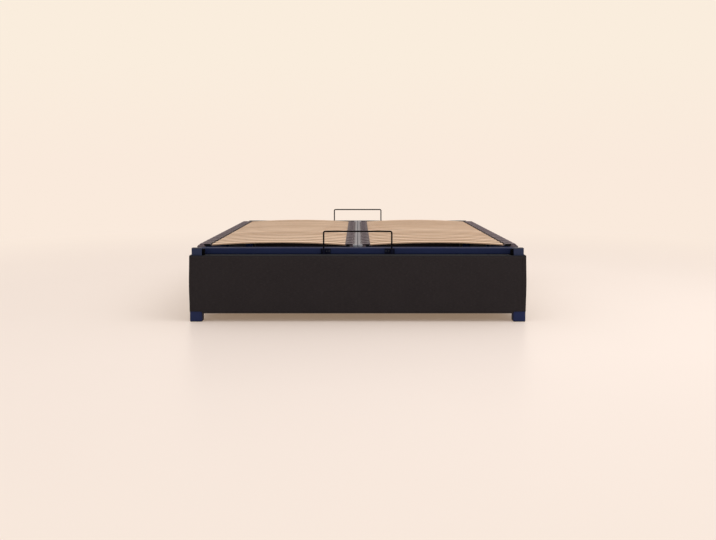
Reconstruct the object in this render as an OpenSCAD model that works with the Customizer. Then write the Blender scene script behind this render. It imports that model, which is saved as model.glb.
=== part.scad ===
// Lift-up storage bed base with a sprung slat frame, for a mattress of 1600 x 2000 mm.
// X runs across the bed, +Y points to the head, Z is up. The origin is on the floor, in the middle.

/* [Slat frame] */
// Width of the slat frame, which is the mattress width
frame_w = 1600; // [1400:10:1800]
// Length of the slat frame, which is the mattress length
frame_l = 2000; // [1900:10:2200]
// Height of the slat frame's top face above the floor
frame_top_z = 358; // [340:1:400]
// Height of every tube of the slat frame
frame_tube_h = 30; // [25:1:40]
// Depth of the foot and head tubes
end_tube_w = 70; // [60:1:80]
// Width of the side tubes
side_tube_w = 60; // [50:1:65]
// Width of the centre tube
centre_tube_w = 80; // [70:1:90]
// Width of the short cross bars
cross_bar_w = 30; // [20:1:50]
// Height of the short cross bars
cross_bar_h = 20; // [15:1:24]
// Distance between the two rows of cross bars
cross_bar_gap = 600; // [400:10:900]
// Wall of every steel tube
tube_wall = 2; // [1.5:0.5:3]
// Corner radius of every steel tube
tube_corner_r = 3.5; // [2:0.5:5]

/* [Slats] */
// Width of a slat
slat_w = 53; // [45:1:60]
// Thickness of a slat
slat_t = 8; // [6:0.5:10]
// Distance from one slat to the next
slat_pitch = 96; // [94:1:110]
// Rise of a slat between its two caps
slat_crown = 12; // [8:1:16]
// Clear distance from the foot end of the frame to the first slat
slats_from_foot = 80; // [76:1:110]
// Clear distance from the last slat to the head end of the frame
slats_from_head = 233; // [150:1:300]
// Depth of the slat's end inside a side cap
slat_in_side_cap = 41; // [25:1:50]
// Depth of the slat's end inside a centre cap
slat_in_centre_cap = 36; // [20:1:38]

/* [Slat caps] */
// Length of a side cap across the bed
side_cap_l = 68; // [60:1:75]
// Length of a centre cap across the bed
centre_cap_l = 41; // [40:1:48]
// Wall of a cap over, under and beside its slat
cap_wall = 2.5; // [2:0.25:3]
// Slant of a cap's mouth, whose top reaches further over the slat than its underside
cap_mouth_slant = 6; // [0:1:10]
// Length of a cap's base along its rail
cap_base_l = 90; // [78:1:93]
// Thickness of a cap's base
cap_base_t = 5; // [3:0.5:6]
// Width of a side cap's base across the bed, on its rail
side_base_w = 35; // [28:1:45]
// Width of the bumper that a side cap's base has beside its rail
side_bumper_w = 11; // [5:1:12]
// Depth of that bumper below the rail's top
side_bumper_drop = 6; // [3:1:10]
// Width of a centre cap's base across the bed, beside the strip
centre_base_w = 17; // [14:1:24]
// Radius of a cap's peg
cap_peg_r = 4; // [3:0.5:5]
// Length of a cap's peg
cap_peg_l = 10; // [6:1:14]
// Distance between a cap's two pegs
cap_peg_gap = 36; // [24:1:44]
// Width of each of the two centre strips
strip_w = 22; // [18:1:22]
// Height of the centre strips
strip_h = 10; // [8:1:12]
// Gap between the two centre strips
strip_gap = 3; // [2:0.5:4]

/* [Mattress stops] */
// Distance between the two uprights of a wire loop
loop_w = 338; // [250:1:450]
// Height of the top wire above the slat frame
loop_rise = 84; // [60:1:120]
// Radius of the wire
wire_r = 4; // [3:0.25:5]
// Bend radius at the wire's centre
wire_bend_r = 9; // [6:0.5:20]
// Width of a loop's bracket
stop_plate_w = 50; // [40:1:60]
// Thickness of a loop's bracket
stop_plate_t = 3; // [2:0.5:4]
// Wall of the socket that holds the wire
socket_wall = 3; // [2:0.5:4]

/* [Base] */
// Depth of the ledge in front of the slat frame
ledge_depth = 64; // [62:1:90]
// Width of the base outside the slat frame, on each side
side_margin = 26.5; // [24.5:0.5:40]
// Height of the base's rest plane under the slat frame
seat_gap = 4; // [3.5:0.5:6]
// Width of a base rail
base_rail_w = 40; // [36:1:44]
// Height of a base rail
base_rail_h = 30; // [25:1:35]
// Wall of a base rail
base_rail_wall = 2; // [1.5:0.5:3]
// Width of a corner post across the bed
post_w = 50; // [44:1:56]
// Depth of a corner post along the bed
post_d = 40; // [36:1:44]
// Height of the foot posts above the slat frame
foot_post_rise = 5; // [2:1:12]
// Depth of the head posts' tops below the slat frame's top
head_post_drop = 18; // [14:1:22]
// Thickness of a post's plastic cap
post_cap_t = 3; // [2:0.5:5]
// Depth of the plug under a post's cap
post_plug_l = 14; // [8:1:20]
// Width of the mid uprights
upright_w = 30; // [20:1:40]
// Depth of the mid uprights
upright_d = 20; // [15:1:25]

/* [Feet] */
// Width and depth of a corner foot
foot_w = 60; // [56:1:80]
// Height of a corner foot with its glide
foot_h = 50; // [45:1:80]
// Corner radius of a foot
foot_r = 6; // [3:1:10]
// Distance of the feet inside the base's front and back faces
foot_inset = 2; // [0:0.5:5]
// Thickness of a glide
glide_t = 3; // [2:0.5:5]
// Length of the foot's spigot inside its post
spigot_l = 9; // [6:1:9]
// Radius of a centre leg
leg_r = 16; // [12:1:20]
// Distance of each centre leg from the middle of the bed
leg_y = 340; // [200:10:600]

/* [Floor of the box] */
// Height of the lower rails above the feet
lower_rail_gap = 2; // [1:0.5:5]
// Width of the flange that carries the floor panels
flange_w = 20; // [15:1:30]
// Thickness of that flange
flange_t = 2; // [1.5:0.5:3]
// Height of the floor panels' underside above the lower rails' bottom
flange_rise = 12; // [8:1:16]
// Thickness of a floor panel
panel_t = 6; // [4:1:9]
// Width of the floor beam
beam_w = 60; // [40:1:80]
// Height of the floor beam
beam_h = 20; // [15:1:22]

/* [Fabric] */
// Thickness of the padded fabric walls
fabric_t = 9.5; // [8:0.5:12]
// Height of the fabric's lower edge above the floor
fabric_low = 41.5; // [30:0.5:44]
// Thickness of the hem over the rails
hem_t = 2.8; // [2:0.1:3]
// Width of the hem over the side rails
side_hem_w = 11; // [6:1:11]
// Gap between the foot hem and the slat frame
foot_hem_gap = 4; // [2:1:10]
// Radius of the fabric's top edge
fabric_edge_r = 5; // [2:0.5:8]

/* [Lifting hinge] */
// Angle to which the slat frame opens
lift_angle = 50; // [30:1:55]
// Distance of the pivot from the slat frame's head face
pivot_inset = 10; // [10:0.5:12]
// Radius of the hinge bolt
pivot_r = 6; // [5:0.5:6.5]
// Thickness of the hinge ear
ear_t = 6; // [4:0.5:7]
// Radius of the ear round the pivot
ear_r = 14; // [12:0.5:15]
// Thickness of the washer between the ear and the slat frame
washer_t = 1.6; // [1:0.2:1.8]
// Gap between the ear and the slat frame
ear_gap = 2; // [2:0.5:3]
// Depth of the hinge plug in the head tube
plug_l = 38; // [25:1:60]
// Running clearance of every pivot, on the radius
pivot_clear = 0.05; // [0.02:0.01:0.1]

/* [Gas struts] */
// Length of a strut between its pins, closed
strut_closed = 285; // [280:1:300]
// Distance of the strut from the side tube of the slat frame
strut_offset = 18; // [17:0.5:24]
// Radius of the cylinder
cylinder_r = 11; // [9:0.5:11]
// Wall of the cylinder
cylinder_wall = 2; // [1.5:0.5:3]
// Length of the cylinder from its pin to its rod end, which gives the stroke
cylinder_l = 250; // [235:1:265]
// Length of the rod guide in the cylinder's end
guide_l = 10; // [8:1:12]
// Radius of the rod
rod_r = 5; // [4:0.5:5]
// Radius of the pins at a strut's ends
strut_pin_r = 5; // [4:0.5:5]
// Radius of the eye at a strut's end
eye_r = 9.5; // [8:0.5:10]
// Width of the eye at a strut's end
eye_w = 14; // [10:1:14]
// Thickness of the strut brackets' steel
bracket_t = 4; // [3:0.5:5]

/* [Fasteners] */
// Radius of the corner bolts
bolt_r = 4; // [3:0.5:5]
// Radius of a bolt's head
bolt_head_r = 6.5; // [5.5:0.5:7]
// Height of a bolt's head
bolt_head_h = 5.5; // [4:0.5:6]
// Radius of the holes that let a bolt's head through a post's outer wall
access_r = 8; // [7.5:0.5:9]

/* [Rest pads] */
// Radius of a rubber rest pad
pad_r = 8; // [6:0.5:10]
// Distance between rest pads
pad_pitch = 480; // [400:10:600]
// Gap between a rest pad and the slat frame
pad_gap = 0.2; // [0.1:0.1:0.4]

/* [Hidden] */
$fn = 48;
ARC_FN = 1440;

STEEL_BLUE = [0.12, 0.155, 0.29];
FOOT_BLUE = [0.13, 0.16, 0.29];
FABRIC_BROWN = [0.17, 0.15, 0.15];
CAP_MAUVE = [0.44, 0.38, 0.4];
STRIP_GREY = [0.56, 0.55, 0.57];
BEECH = [0.82, 0.69, 0.56];
WIRE_BROWN = [0.1, 0.08, 0.09];
ZINC = [0.7, 0.7, 0.72];
RUBBER_BLACK = [0.08, 0.08, 0.08];
BOARD_GREY = [0.6, 0.57, 0.53];

// Small gaps between pieces that aren't fastened face to face
fit_gap = 0.5;
plug_clear = 0.2;

// Slat frame
frame_bottom_z = frame_top_z - frame_tube_h;
frame_mid_z = frame_top_z - frame_tube_h / 2;
side_tube_in = frame_w / 2 - side_tube_w;
side_tube_l = frame_l - 2 * end_tube_w;
frame_end_y = frame_l / 2;

// Slats: one arc, which the caps' mouths follow
side_cap_in = frame_w / 2 - side_cap_l;
centre_cap_in = strip_gap / 2 + strip_w;
centre_cap_out = centre_cap_in + centre_cap_l;
slat_inner_x = centre_cap_out - slat_in_centre_cap;
slat_outer_x = side_cap_in + slat_in_side_cap;
slat_mid_x = (centre_cap_out + side_cap_in) / 2;
slat_half_span = (side_cap_in - centre_cap_out) / 2;
slat_arc_r = (pow(slat_half_span, 2) + pow(slat_crown, 2)) / (2 * slat_crown);
slat_reach = max(slat_outer_x - slat_mid_x, slat_mid_x - slat_inner_x);
slat_total_drop = slat_arc_r - sqrt(pow(slat_arc_r, 2) - pow(slat_reach, 2));
slat_top_z = frame_top_z + cap_wall + slat_t + slat_total_drop;
slat_arc_z = slat_top_z - slat_arc_r;
slat_first_y = -frame_end_y + slats_from_foot + slat_w / 2;
slat_count = floor((frame_l - slats_from_foot - slats_from_head - slat_w) / slat_pitch) + 1;
slat_ys = [for (i = [0 : slat_count - 1]) slat_first_y + i * slat_pitch];
slat_clear = 0.2;
function slat_top_at(x) = slat_arc_z + sqrt(pow(slat_arc_r, 2) - pow(x - slat_mid_x, 2));

// Caps
sleeve_w = slat_w + 2 * (slat_clear + cap_wall);
sleeve_corner_r = 4;
side_base_in = frame_w / 2 - side_base_w;
centre_base_out = centre_cap_in + centre_base_w;
side_peg_x = side_base_in + cap_peg_r + 1;
centre_peg_x = centre_cap_in + centre_base_w / 2;
side_bumper_gap = 2;
cap_end_ease = 3;
function cap_top_at(x) = slat_top_at(x) + slat_clear + cap_wall;
function cap_under_at(x) = slat_top_at(x) - slat_t - slat_clear - cap_wall;

// Base
base_w = frame_w + 2 * side_margin;
base_l = frame_l + 2 * ledge_depth;
seat_z = frame_bottom_z - seat_gap;
upper_rail_mid_z = seat_z - base_rail_h / 2;
lower_rail_low_z = foot_h + lower_rail_gap;
lower_rail_mid_z = lower_rail_low_z + base_rail_h / 2;
lower_rail_top_z = lower_rail_low_z + base_rail_h;
steel_out_x = base_w / 2 - fabric_t - fit_gap;
steel_out_y = base_l / 2 - fabric_t;
post_mid_x = steel_out_x - post_w / 2;
post_mid_y = steel_out_y - post_d / 2;
post_in_x = steel_out_x - post_w;
post_in_y = steel_out_y - post_d;
side_rail_mid_x = steel_out_x - base_rail_w / 2;
side_rail_in_x = steel_out_x - base_rail_w;
end_rail_mid_y = post_in_y + base_rail_w / 2;
foot_post_top_z = frame_top_z + foot_post_rise - post_cap_t;
head_post_top_z = frame_top_z - head_post_drop - post_cap_t;
end_plate_t = 3;
rail_bolt_grip = 12;

// Feet
foot_mid_x = base_w / 2 - foot_w / 2;
foot_mid_y = base_l / 2 - foot_inset - foot_w / 2;
glide_margin = 2;
leg_base_r = leg_r + 8;
leg_base_t = 3;
spigot_clear = 0.2;

// Floor of the box
panel_low_z = lower_rail_low_z + flange_rise;
beam_low_z = panel_low_z - beam_h;
panel_edge_gap = 2;

// Fabric
fabric_top_z = seat_z + plug_clear + hem_t;
fabric_foot_z = foot_h + fit_gap;
fabric_in_x = base_w / 2 - fabric_t;
fabric_in_y = base_l / 2 - fabric_t + fit_gap;
ear_hem_gap = 2;

// Hinge, in the plane of the head tube
pivot_y = frame_end_y - pivot_inset;
pivot_z = frame_mid_z;
ear_in_x = frame_w / 2 + ear_gap;
bolt_reach = plug_l - 4;
hinge_head_r = 9;
hinge_head_h = 6;

// Gas struts: the stroke is what the cylinder's cavity leaves to the piston
cavity_start = 22;
piston_rest_gap = 5;
piston_l = 10;
piston_clear = 0.1;
piston_stop = 3;
strut_stroke = cylinder_l - guide_l - piston_stop - piston_l - piston_rest_gap - cavity_start;
strut_open = strut_closed + strut_stroke;

// Both pins lie at the same distance from the pivot, so rod and cylinder stay in line
strut_half_angle = atan2(sin(lift_angle / 2), strut_open / strut_closed - cos(lift_angle / 2));
strut_arm = strut_closed / (2 * sin(strut_half_angle));
strut_x = side_tube_in - strut_offset;
frame_pin_y = pivot_y - strut_arm;
frame_pin_z = pivot_z;
base_pin_y = pivot_y - strut_arm * cos(2 * strut_half_angle);
base_pin_z = pivot_z - strut_arm * sin(2 * strut_half_angle);
rod_l = strut_closed - cavity_start - piston_rest_gap;
pin_washer_t = 3;
pin_end_gap = 1;
collar_gap = 0.6;
base_plate_x = strut_x + max(cylinder_r, eye_w / 2 + collar_gap) + 1;
base_plate_half = 30;
base_plate_top = 16;
bracket_seat_l = 36;
bracket_bolt_gap = 40;
frame_plate_half = 22;

// Rest pads
pad_x = (side_rail_in_x + frame_w / 2) / 2;
pad_stem_r = 4;
pad_stem_l = 8;
pad_first_y = -frame_end_y + end_tube_w / 2;
pad_count = floor((pivot_y - 2 * end_tube_w - pad_first_y) / pad_pitch) + 1;
pad_ys = [for (i = [0 : pad_count - 1]) pad_first_y + i * pad_pitch];

// Mattress stops
wire_y = frame_end_y + stop_plate_t + wire_r + 0.5;
socket_r = wire_r + socket_wall;
stop_low_z = frame_bottom_z + 1.5;
stop_high_z = frame_top_z - 1.5;
socket_floor = 2;
stop_plate_in = loop_w / 2 - stop_plate_w * 0.7;

// ---- Shared forms ----

// A rectangle with round corners, about its centre
module rounded_rect(w, h, r) {
    square([w - 2 * r, h], center = true);
    square([w, h - 2 * r], center = true);
    for (sx = [-1, 1], sy = [-1, 1])
        translate([sx * (w / 2 - r), sy * (h / 2 - r)]) circle(r);
}

// The section of a rectangular tube
module tube_section(w, h, wall) {
    difference() {
        rounded_rect(w, h, tube_corner_r);
        square([w - 2 * wall, h - 2 * wall], center = true);
    }
}

// Draws a section along X: its x runs along Y and its y along Z
module along_x(from, to) {
    translate([from, 0, 0]) rotate([90, 0, 90]) linear_extrude(to - from) children();
}

// Draws a section along Y: its x runs along X and its y along Z
module along_y(from, to) {
    translate([0, to, 0]) rotate([90, 0, 0]) linear_extrude(to - from) children();
}

// A round bar along X
module bar_x(r, from, to) {
    translate([from, 0, 0]) rotate([0, 90, 0]) cylinder(h = to - from, r = r);
}

// A round bar along Y
module bar_y(r, from, to) {
    translate([0, to, 0]) rotate([90, 0, 0]) cylinder(h = to - from, r = r);
}

// Places a right-hand piece on either side
module on_side(side) {
    if (side < 0) mirror([1, 0, 0]) children();
    else children();
}

// Places a head-end piece at either end
module at_end(end) {
    if (end < 0) mirror([0, 1, 0]) children();
    else children();
}

module on_both_sides() {
    for (side = [-1, 1]) on_side(side) children();
}

module at_both_ends() {
    for (end = [-1, 1]) at_end(end) children();
}

// ---- Corner posts and feet ----

// A post at the right head corner: its outer walls let the bolt heads through
module corner_post(top_z) {
    difference() {
        translate([post_mid_x, post_mid_y, foot_h])
            linear_extrude(top_z - foot_h) tube_section(post_w, post_d, base_rail_wall);
        for (z = [lower_rail_mid_z, upper_rail_mid_z]) {
            translate([side_rail_mid_x, 0, z]) bar_y(bolt_r, post_in_y - 1, post_mid_y);
            translate([side_rail_mid_x, 0, z]) bar_y(access_r, post_mid_y, steel_out_y + 1);
            translate([0, end_rail_mid_y, z]) bar_x(bolt_r, post_in_x - 1, post_mid_x);
            translate([0, end_rail_mid_y, z]) bar_x(access_r, post_mid_x, steel_out_x + 1);
        }
    }
}

module foot_post(side) {
    color(STEEL_BLUE) on_side(side) at_end(-1) corner_post(foot_post_top_z);
}

module head_post(side) {
    color(STEEL_BLUE) on_side(side) corner_post(head_post_top_z);
}

// A flat plastic cap with a plug inside the post's tube
module post_cap(top_z) {
    bore_w = post_w - 2 * base_rail_wall - 2 * plug_clear;
    bore_d = post_d - 2 * base_rail_wall - 2 * plug_clear;
    translate([post_mid_x, post_mid_y, top_z])
        linear_extrude(post_cap_t) rounded_rect(post_w, post_d, tube_corner_r);
    translate([post_mid_x, post_mid_y, top_z - post_plug_l])
        linear_extrude(post_plug_l) square([bore_w, bore_d], center = true);
}

module post_caps() {
    color(FOOT_BLUE) on_both_sides() {
        at_end(-1) post_cap(foot_post_top_z);
        post_cap(head_post_top_z);
    }
}

// A moulded foot: a ribbed block with a spigot that fills the post's tube
module foot_block() {
    pocket_w = foot_w / 2 - 7;
    spigot_w = post_w - 2 * base_rail_wall - 2 * spigot_clear;
    spigot_d = post_d - 2 * base_rail_wall - 2 * spigot_clear;
    translate([foot_mid_x, foot_mid_y, glide_t]) difference() {
        linear_extrude(foot_h - glide_t) rounded_rect(foot_w, foot_w, foot_r);
        for (sx = [-1, 1], sy = [-1, 1])
            translate([sx * foot_w / 4, sy * foot_w / 4, -1])
                linear_extrude(foot_h - glide_t - 7) rounded_rect(pocket_w, pocket_w, 3);
    }
    translate([post_mid_x, post_mid_y, foot_h - 1])
        linear_extrude(spigot_l + 1) square([spigot_w, spigot_d], center = true);
}

module foot(side, end) {
    color(FOOT_BLUE) on_side(side) at_end(end) foot_block();
}

module glides() {
    color(RUBBER_BLACK) {
        on_both_sides() at_both_ends() translate([foot_mid_x, foot_mid_y, 0])
            linear_extrude(glide_t)
                rounded_rect(foot_w - 2 * glide_margin, foot_w - 2 * glide_margin, foot_r - glide_margin);
        for (y = [-leg_y, leg_y]) translate([0, y, 0]) cylinder(h = glide_t, r = leg_base_r);
    }
}

// ---- Base rails ----

// A side rail at a height, with a threaded plate in each end
module side_rail(mid_z) {
    difference() {
        translate([side_rail_mid_x, 0, mid_z]) {
            along_y(-post_in_y, post_in_y) tube_section(base_rail_w, base_rail_h, base_rail_wall);
            at_both_ends() along_y(post_in_y - end_plate_t, post_in_y)
                square([base_rail_w - base_rail_wall, base_rail_h - base_rail_wall], center = true);
        }
        at_both_ends() translate([side_rail_mid_x, 0, mid_z])
            bar_y(bolt_r, post_in_y - end_plate_t - 1, post_in_y + 1);
    }
}

// A foot or head rail at a height, with a threaded plate in each end
module end_rail(mid_z) {
    difference() {
        translate([0, end_rail_mid_y, mid_z]) {
            along_x(-post_in_x, post_in_x) tube_section(base_rail_w, base_rail_h, base_rail_wall);
            on_both_sides() along_x(post_in_x - end_plate_t, post_in_x)
                square([base_rail_w - base_rail_wall, base_rail_h - base_rail_wall], center = true);
        }
        on_both_sides() translate([0, end_rail_mid_y, mid_z])
            bar_x(bolt_r, post_in_x - end_plate_t - 1, post_in_x + 1);
    }
}

// The lower side rail carries the floor panel on a flange and the strut bracket on two bolts
module lower_side_rail(side) {
    color(STEEL_BLUE) on_side(side) difference() {
        union() {
            side_rail(lower_rail_mid_z);
            along_y(-post_in_y, post_in_y)
                translate([side_rail_in_x - flange_w, panel_low_z - flange_t])
                    square([flange_w + base_rail_wall, flange_t]);
        }
        bracket_bolt_holes();
    }
}

// The lower end rail's flange stops short of the side flanges and of the floor beam
module lower_end_rail(end) {
    flange_to = side_rail_in_x - flange_w - panel_edge_gap;
    color(STEEL_BLUE) at_end(end) {
        end_rail(lower_rail_mid_z);
        on_both_sides() along_x(beam_w / 2 + panel_edge_gap, flange_to)
            translate([post_in_y - flange_w, panel_low_z - flange_t])
                square([flange_w + base_rail_wall, flange_t]);
    }
}

// The upper side rail has a hole for each rest pad's stem
module upper_side_rail(side) {
    color(STEEL_BLUE) on_side(side) difference() {
        side_rail(upper_rail_mid_z);
        for (y = pad_ys) translate([pad_x, y, seat_z - base_rail_wall - 1])
            cylinder(h = base_rail_wall + 2, r = pad_stem_r);
    }
}

module upper_end_rail(end) {
    color(STEEL_BLUE) at_end(end) end_rail(upper_rail_mid_z);
}

// One upright in the middle of each side and each end
module mid_uprights() {
    upright_l = seat_z - base_rail_h - lower_rail_top_z;
    color(STEEL_BLUE) translate([0, 0, lower_rail_top_z]) {
        on_both_sides() translate([side_rail_mid_x, 0, 0])
            linear_extrude(upright_l) tube_section(upright_d, upright_w, base_rail_wall);
        at_both_ends() translate([0, end_rail_mid_y, 0])
            linear_extrude(upright_l) tube_section(upright_w, upright_d, base_rail_wall);
    }
}

// Bolts inside the posts that draw the rails against them
module rail_bolts() {
    head_y = post_in_y + base_rail_wall;
    head_x = post_in_x + base_rail_wall;
    thread = base_rail_wall + end_plate_t + rail_bolt_grip;
    color(ZINC) on_both_sides() at_both_ends() for (z = [lower_rail_mid_z, upper_rail_mid_z]) {
        translate([side_rail_mid_x, 0, z]) {
            bar_y(bolt_r, head_y - thread, head_y + 1);
            bar_y(bolt_head_r, head_y, head_y + bolt_head_h);
        }
        translate([0, end_rail_mid_y, z]) {
            bar_x(bolt_r, head_x - thread, head_x + 1);
            bar_x(bolt_head_r, head_x, head_x + bolt_head_h);
        }
    }
}

// ---- Floor of the box ----

module floor_beam() {
    color(STEEL_BLUE) translate([0, 0, beam_low_z + beam_h / 2])
        along_y(-post_in_y, post_in_y) tube_section(beam_w, beam_h, base_rail_wall);
}

// Short tube legs under the floor beam
module centre_legs() {
    color(STEEL_BLUE) for (y = [-leg_y, leg_y]) translate([0, y, 0]) {
        translate([0, 0, glide_t]) cylinder(h = leg_base_t, r = leg_base_r);
        translate([0, 0, glide_t + leg_base_t]) difference() {
            cylinder(h = beam_low_z - glide_t - leg_base_t, r = leg_r);
            translate([0, 0, -1]) cylinder(h = beam_low_z, r = leg_r - base_rail_wall);
        }
    }
}

module floor_panel(side) {
    color(BOARD_GREY) on_side(side)
        translate([panel_edge_gap / 2, -post_in_y + panel_edge_gap / 2, panel_low_z])
            cube([side_rail_in_x - 1.5 * panel_edge_gap, 2 * post_in_y - panel_edge_gap, panel_t]);
}

// ---- Fabric walls ----

// The section of a wall, from its lower edge to its rounded top
module wall_section(low_z) {
    difference() {
        translate([0, low_z]) square([fabric_t - fit_gap, fabric_top_z - low_z]);
        translate([fabric_t - fit_gap - fabric_edge_r, fabric_top_z - fabric_edge_r])
            difference() {
                square([fabric_edge_r + 1, fabric_edge_r + 1]);
                circle(fabric_edge_r);
            }
    }
}

// A side wall is higher over the feet; its hem lies on the rail and stops at the hinge ear
module fabric_side(side) {
    wall_end_y = base_l / 2 - fabric_t;
    foot_from_y = foot_mid_y - foot_w / 2 - fit_gap;
    color(FABRIC_BROWN) on_side(side) {
        along_y(-foot_from_y, foot_from_y)
            translate([fabric_in_x + fit_gap, 0]) wall_section(fabric_low);
        at_both_ends() along_y(foot_from_y, wall_end_y)
            translate([fabric_in_x + fit_gap, 0]) wall_section(fabric_foot_z);
        along_y(-post_in_y + fit_gap, pivot_y - ear_r - ear_hem_gap)
            translate([fabric_in_x + fit_gap - side_hem_w, fabric_top_z - hem_t])
                square([side_hem_w + 1, hem_t]);
    }
}

// An end wall covers the whole width; its hem lies between the posts
module fabric_end(end, hem_from_y) {
    foot_from_x = foot_mid_x - foot_w / 2 - fit_gap;
    color(FABRIC_BROWN) at_end(end) {
        along_x(-foot_from_x, foot_from_x) translate([fabric_in_y, 0]) wall_section(fabric_low);
        on_both_sides() along_x(foot_from_x, base_w / 2)
            translate([fabric_in_y, 0]) wall_section(fabric_foot_z);
        along_x(-post_in_x + fit_gap, post_in_x - fit_gap)
            translate([hem_from_y, fabric_top_z - hem_t])
                square([fabric_in_y - hem_from_y + 1, hem_t]);
    }
}

// ---- Rest pads ----

module rest_pads() {
    color(RUBBER_BLACK) on_both_sides() for (y = pad_ys) {
        translate([pad_x, y, seat_z]) cylinder(h = seat_gap - pad_gap, r = pad_r);
        translate([pad_x, y, seat_z - pad_stem_l]) cylinder(h = pad_stem_l + 1, r = pad_stem_r);
    }
}

// ---- Lifting hinge ----

// Upright ears on the upper side rails, welded to the head posts
module hinge_ears() {
    color(STEEL_BLUE) on_both_sides() difference() {
        union() {
            translate([0, pivot_y, pivot_z]) bar_x(ear_r, ear_in_x, ear_in_x + ear_t);
            translate([ear_in_x, pivot_y - ear_r, seat_z]) cube([ear_t, 2 * ear_r, pivot_z - seat_z]);
            translate([ear_in_x, pivot_y, seat_z])
                cube([ear_t, post_in_y - pivot_y, head_post_top_z - seat_z]);
        }
        translate([0, pivot_y, pivot_z]) bar_x(pivot_r, ear_in_x - 1, ear_in_x + ear_t + 1);
    }
}

// Shoulder bolts, fixed in the ears, on which the head tube's plugs turn
module hinge_bolts() {
    color(ZINC) on_both_sides() translate([0, pivot_y, pivot_z]) {
        bar_x(pivot_r, frame_w / 2 - bolt_reach, ear_in_x + ear_t + 1);
        bar_x(hinge_head_r, ear_in_x + ear_t, ear_in_x + ear_t + hinge_head_h);
    }
}

module hinge_washers() {
    washer_from = frame_w / 2 + (ear_gap - washer_t) / 2;
    color(RUBBER_BLACK) on_both_sides() translate([0, pivot_y, pivot_z]) difference() {
        bar_x(ear_r - 3, washer_from, washer_from + washer_t);
        bar_x(pivot_r, washer_from - 1, washer_from + washer_t + 1);
    }
}

// Solid plugs in the ends of the head tube, bored for the hinge bolts
module hinge_plugs() {
    color(ZINC) on_both_sides() difference() {
        translate([0, frame_end_y - end_tube_w / 2, frame_mid_z])
            along_x(frame_w / 2 - plug_l, frame_w / 2)
                square([end_tube_w - 2 * tube_wall, frame_tube_h - 2 * tube_wall], center = true);
        translate([0, pivot_y, pivot_z])
            bar_x(pivot_r + pivot_clear, frame_w / 2 - plug_l - 1, frame_w / 2 + 1);
    }
}

// ---- Gas struts ----

// A pin with its collar and end washer, from a bracket plate inwards through a strut's eye
module strut_pin(plate_x) {
    eye_in = strut_x - eye_w / 2;
    eye_out = strut_x + eye_w / 2;
    bar_x(strut_pin_r, eye_in - pin_end_gap - pin_washer_t, plate_x + 1);
    bar_x(strut_pin_r + 3, eye_out + collar_gap, plate_x + 1);
    bar_x(strut_pin_r + 3, eye_in - pin_end_gap - pin_washer_t, eye_in - pin_end_gap);
}

module bracket_bolt_holes() {
    for (sy = [-1, 1])
        translate([side_rail_mid_x, base_pin_y + sy * bracket_bolt_gap / 2, lower_rail_top_z - base_rail_wall - 1])
            cylinder(h = base_rail_wall + bracket_t + 2, r = bolt_r);
}

// Bent steel brackets on the lower side rails, stiffened by two gussets
module strut_base_brackets() {
    plate_x = base_plate_x;
    seat_to = side_rail_in_x + bracket_seat_l;
    color(STEEL_BLUE) on_both_sides() difference() {
        union() {
            translate([plate_x, base_pin_y - base_plate_half, lower_rail_top_z])
                cube([bracket_t, 2 * base_plate_half, base_pin_z + base_plate_top - lower_rail_top_z]);
            translate([plate_x, base_pin_y - base_plate_half, lower_rail_top_z])
                cube([seat_to - plate_x, 2 * base_plate_half, bracket_t]);
            for (y = [base_pin_y - base_plate_half, base_pin_y + base_plate_half - bracket_t])
                along_y(y, y + bracket_t) polygon([
                    [plate_x, lower_rail_top_z],
                    [side_rail_in_x, lower_rail_top_z],
                    [plate_x, base_pin_z + base_plate_top - 2]]);
            translate([0, base_pin_y, base_pin_z]) strut_pin(plate_x);
        }
        bracket_bolt_holes();
    }
}

module bracket_bolts() {
    color(ZINC) on_both_sides() for (sy = [-1, 1])
        translate([side_rail_mid_x, base_pin_y + sy * bracket_bolt_gap / 2, lower_rail_top_z + bracket_t]) {
            cylinder(h = bolt_head_h, r = bolt_head_r);
            translate([0, 0, -bracket_t - rail_bolt_grip])
                cylinder(h = bracket_t + rail_bolt_grip + 1, r = bolt_r);
        }
}

// Plates welded to the inner faces of the slat frame's side tubes
module strut_frame_brackets() {
    color(STEEL_BLUE) on_both_sides() {
        translate([side_tube_in - bracket_t, frame_pin_y - frame_plate_half, frame_bottom_z + 2])
            cube([bracket_t, 2 * frame_plate_half, frame_tube_h - 4]);
        translate([0, frame_pin_y, frame_pin_z]) strut_pin(side_tube_in - bracket_t);
    }
}

// Stands a strut piece, drawn upwards from a pin, along the strut's line on one side
module along_strut(side, pin_y, pin_z) {
    translate([side * strut_x, pin_y, pin_z]) rotate([strut_half_angle, 0, 0]) children();
}

module strut_cylinder(side) {
    neck_l = cylinder_r + 3;
    color(RUBBER_BLACK) along_strut(side, base_pin_y, base_pin_z) difference() {
        union() {
            bar_x(eye_r, -eye_w / 2, eye_w / 2);
            cylinder(h = neck_l + 1, r = rod_r + 2);
            translate([0, 0, neck_l]) cylinder(h = cylinder_l - neck_l, r = cylinder_r);
        }
        bar_x(strut_pin_r + pivot_clear, -eye_w, eye_w);
        translate([0, 0, cavity_start])
            cylinder(h = cylinder_l - guide_l - cavity_start, r = cylinder_r - cylinder_wall);
        translate([0, 0, cylinder_l - guide_l - 1]) cylinder(h = guide_l + 2, r = rod_r + pivot_clear);
    }
}

module strut_rod(side) {
    color(ZINC) along_strut(side, frame_pin_y, frame_pin_z) difference() {
        union() {
            bar_x(eye_r, -eye_w / 2, eye_w / 2);
            translate([0, 0, -rod_l]) cylinder(h = rod_l, r = rod_r);
            translate([0, 0, -rod_l])
                cylinder(h = piston_l, r = cylinder_r - cylinder_wall - piston_clear);
        }
        bar_x(strut_pin_r + pivot_clear, -eye_w, eye_w);
    }
}

// ---- Slat frame ----

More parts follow.
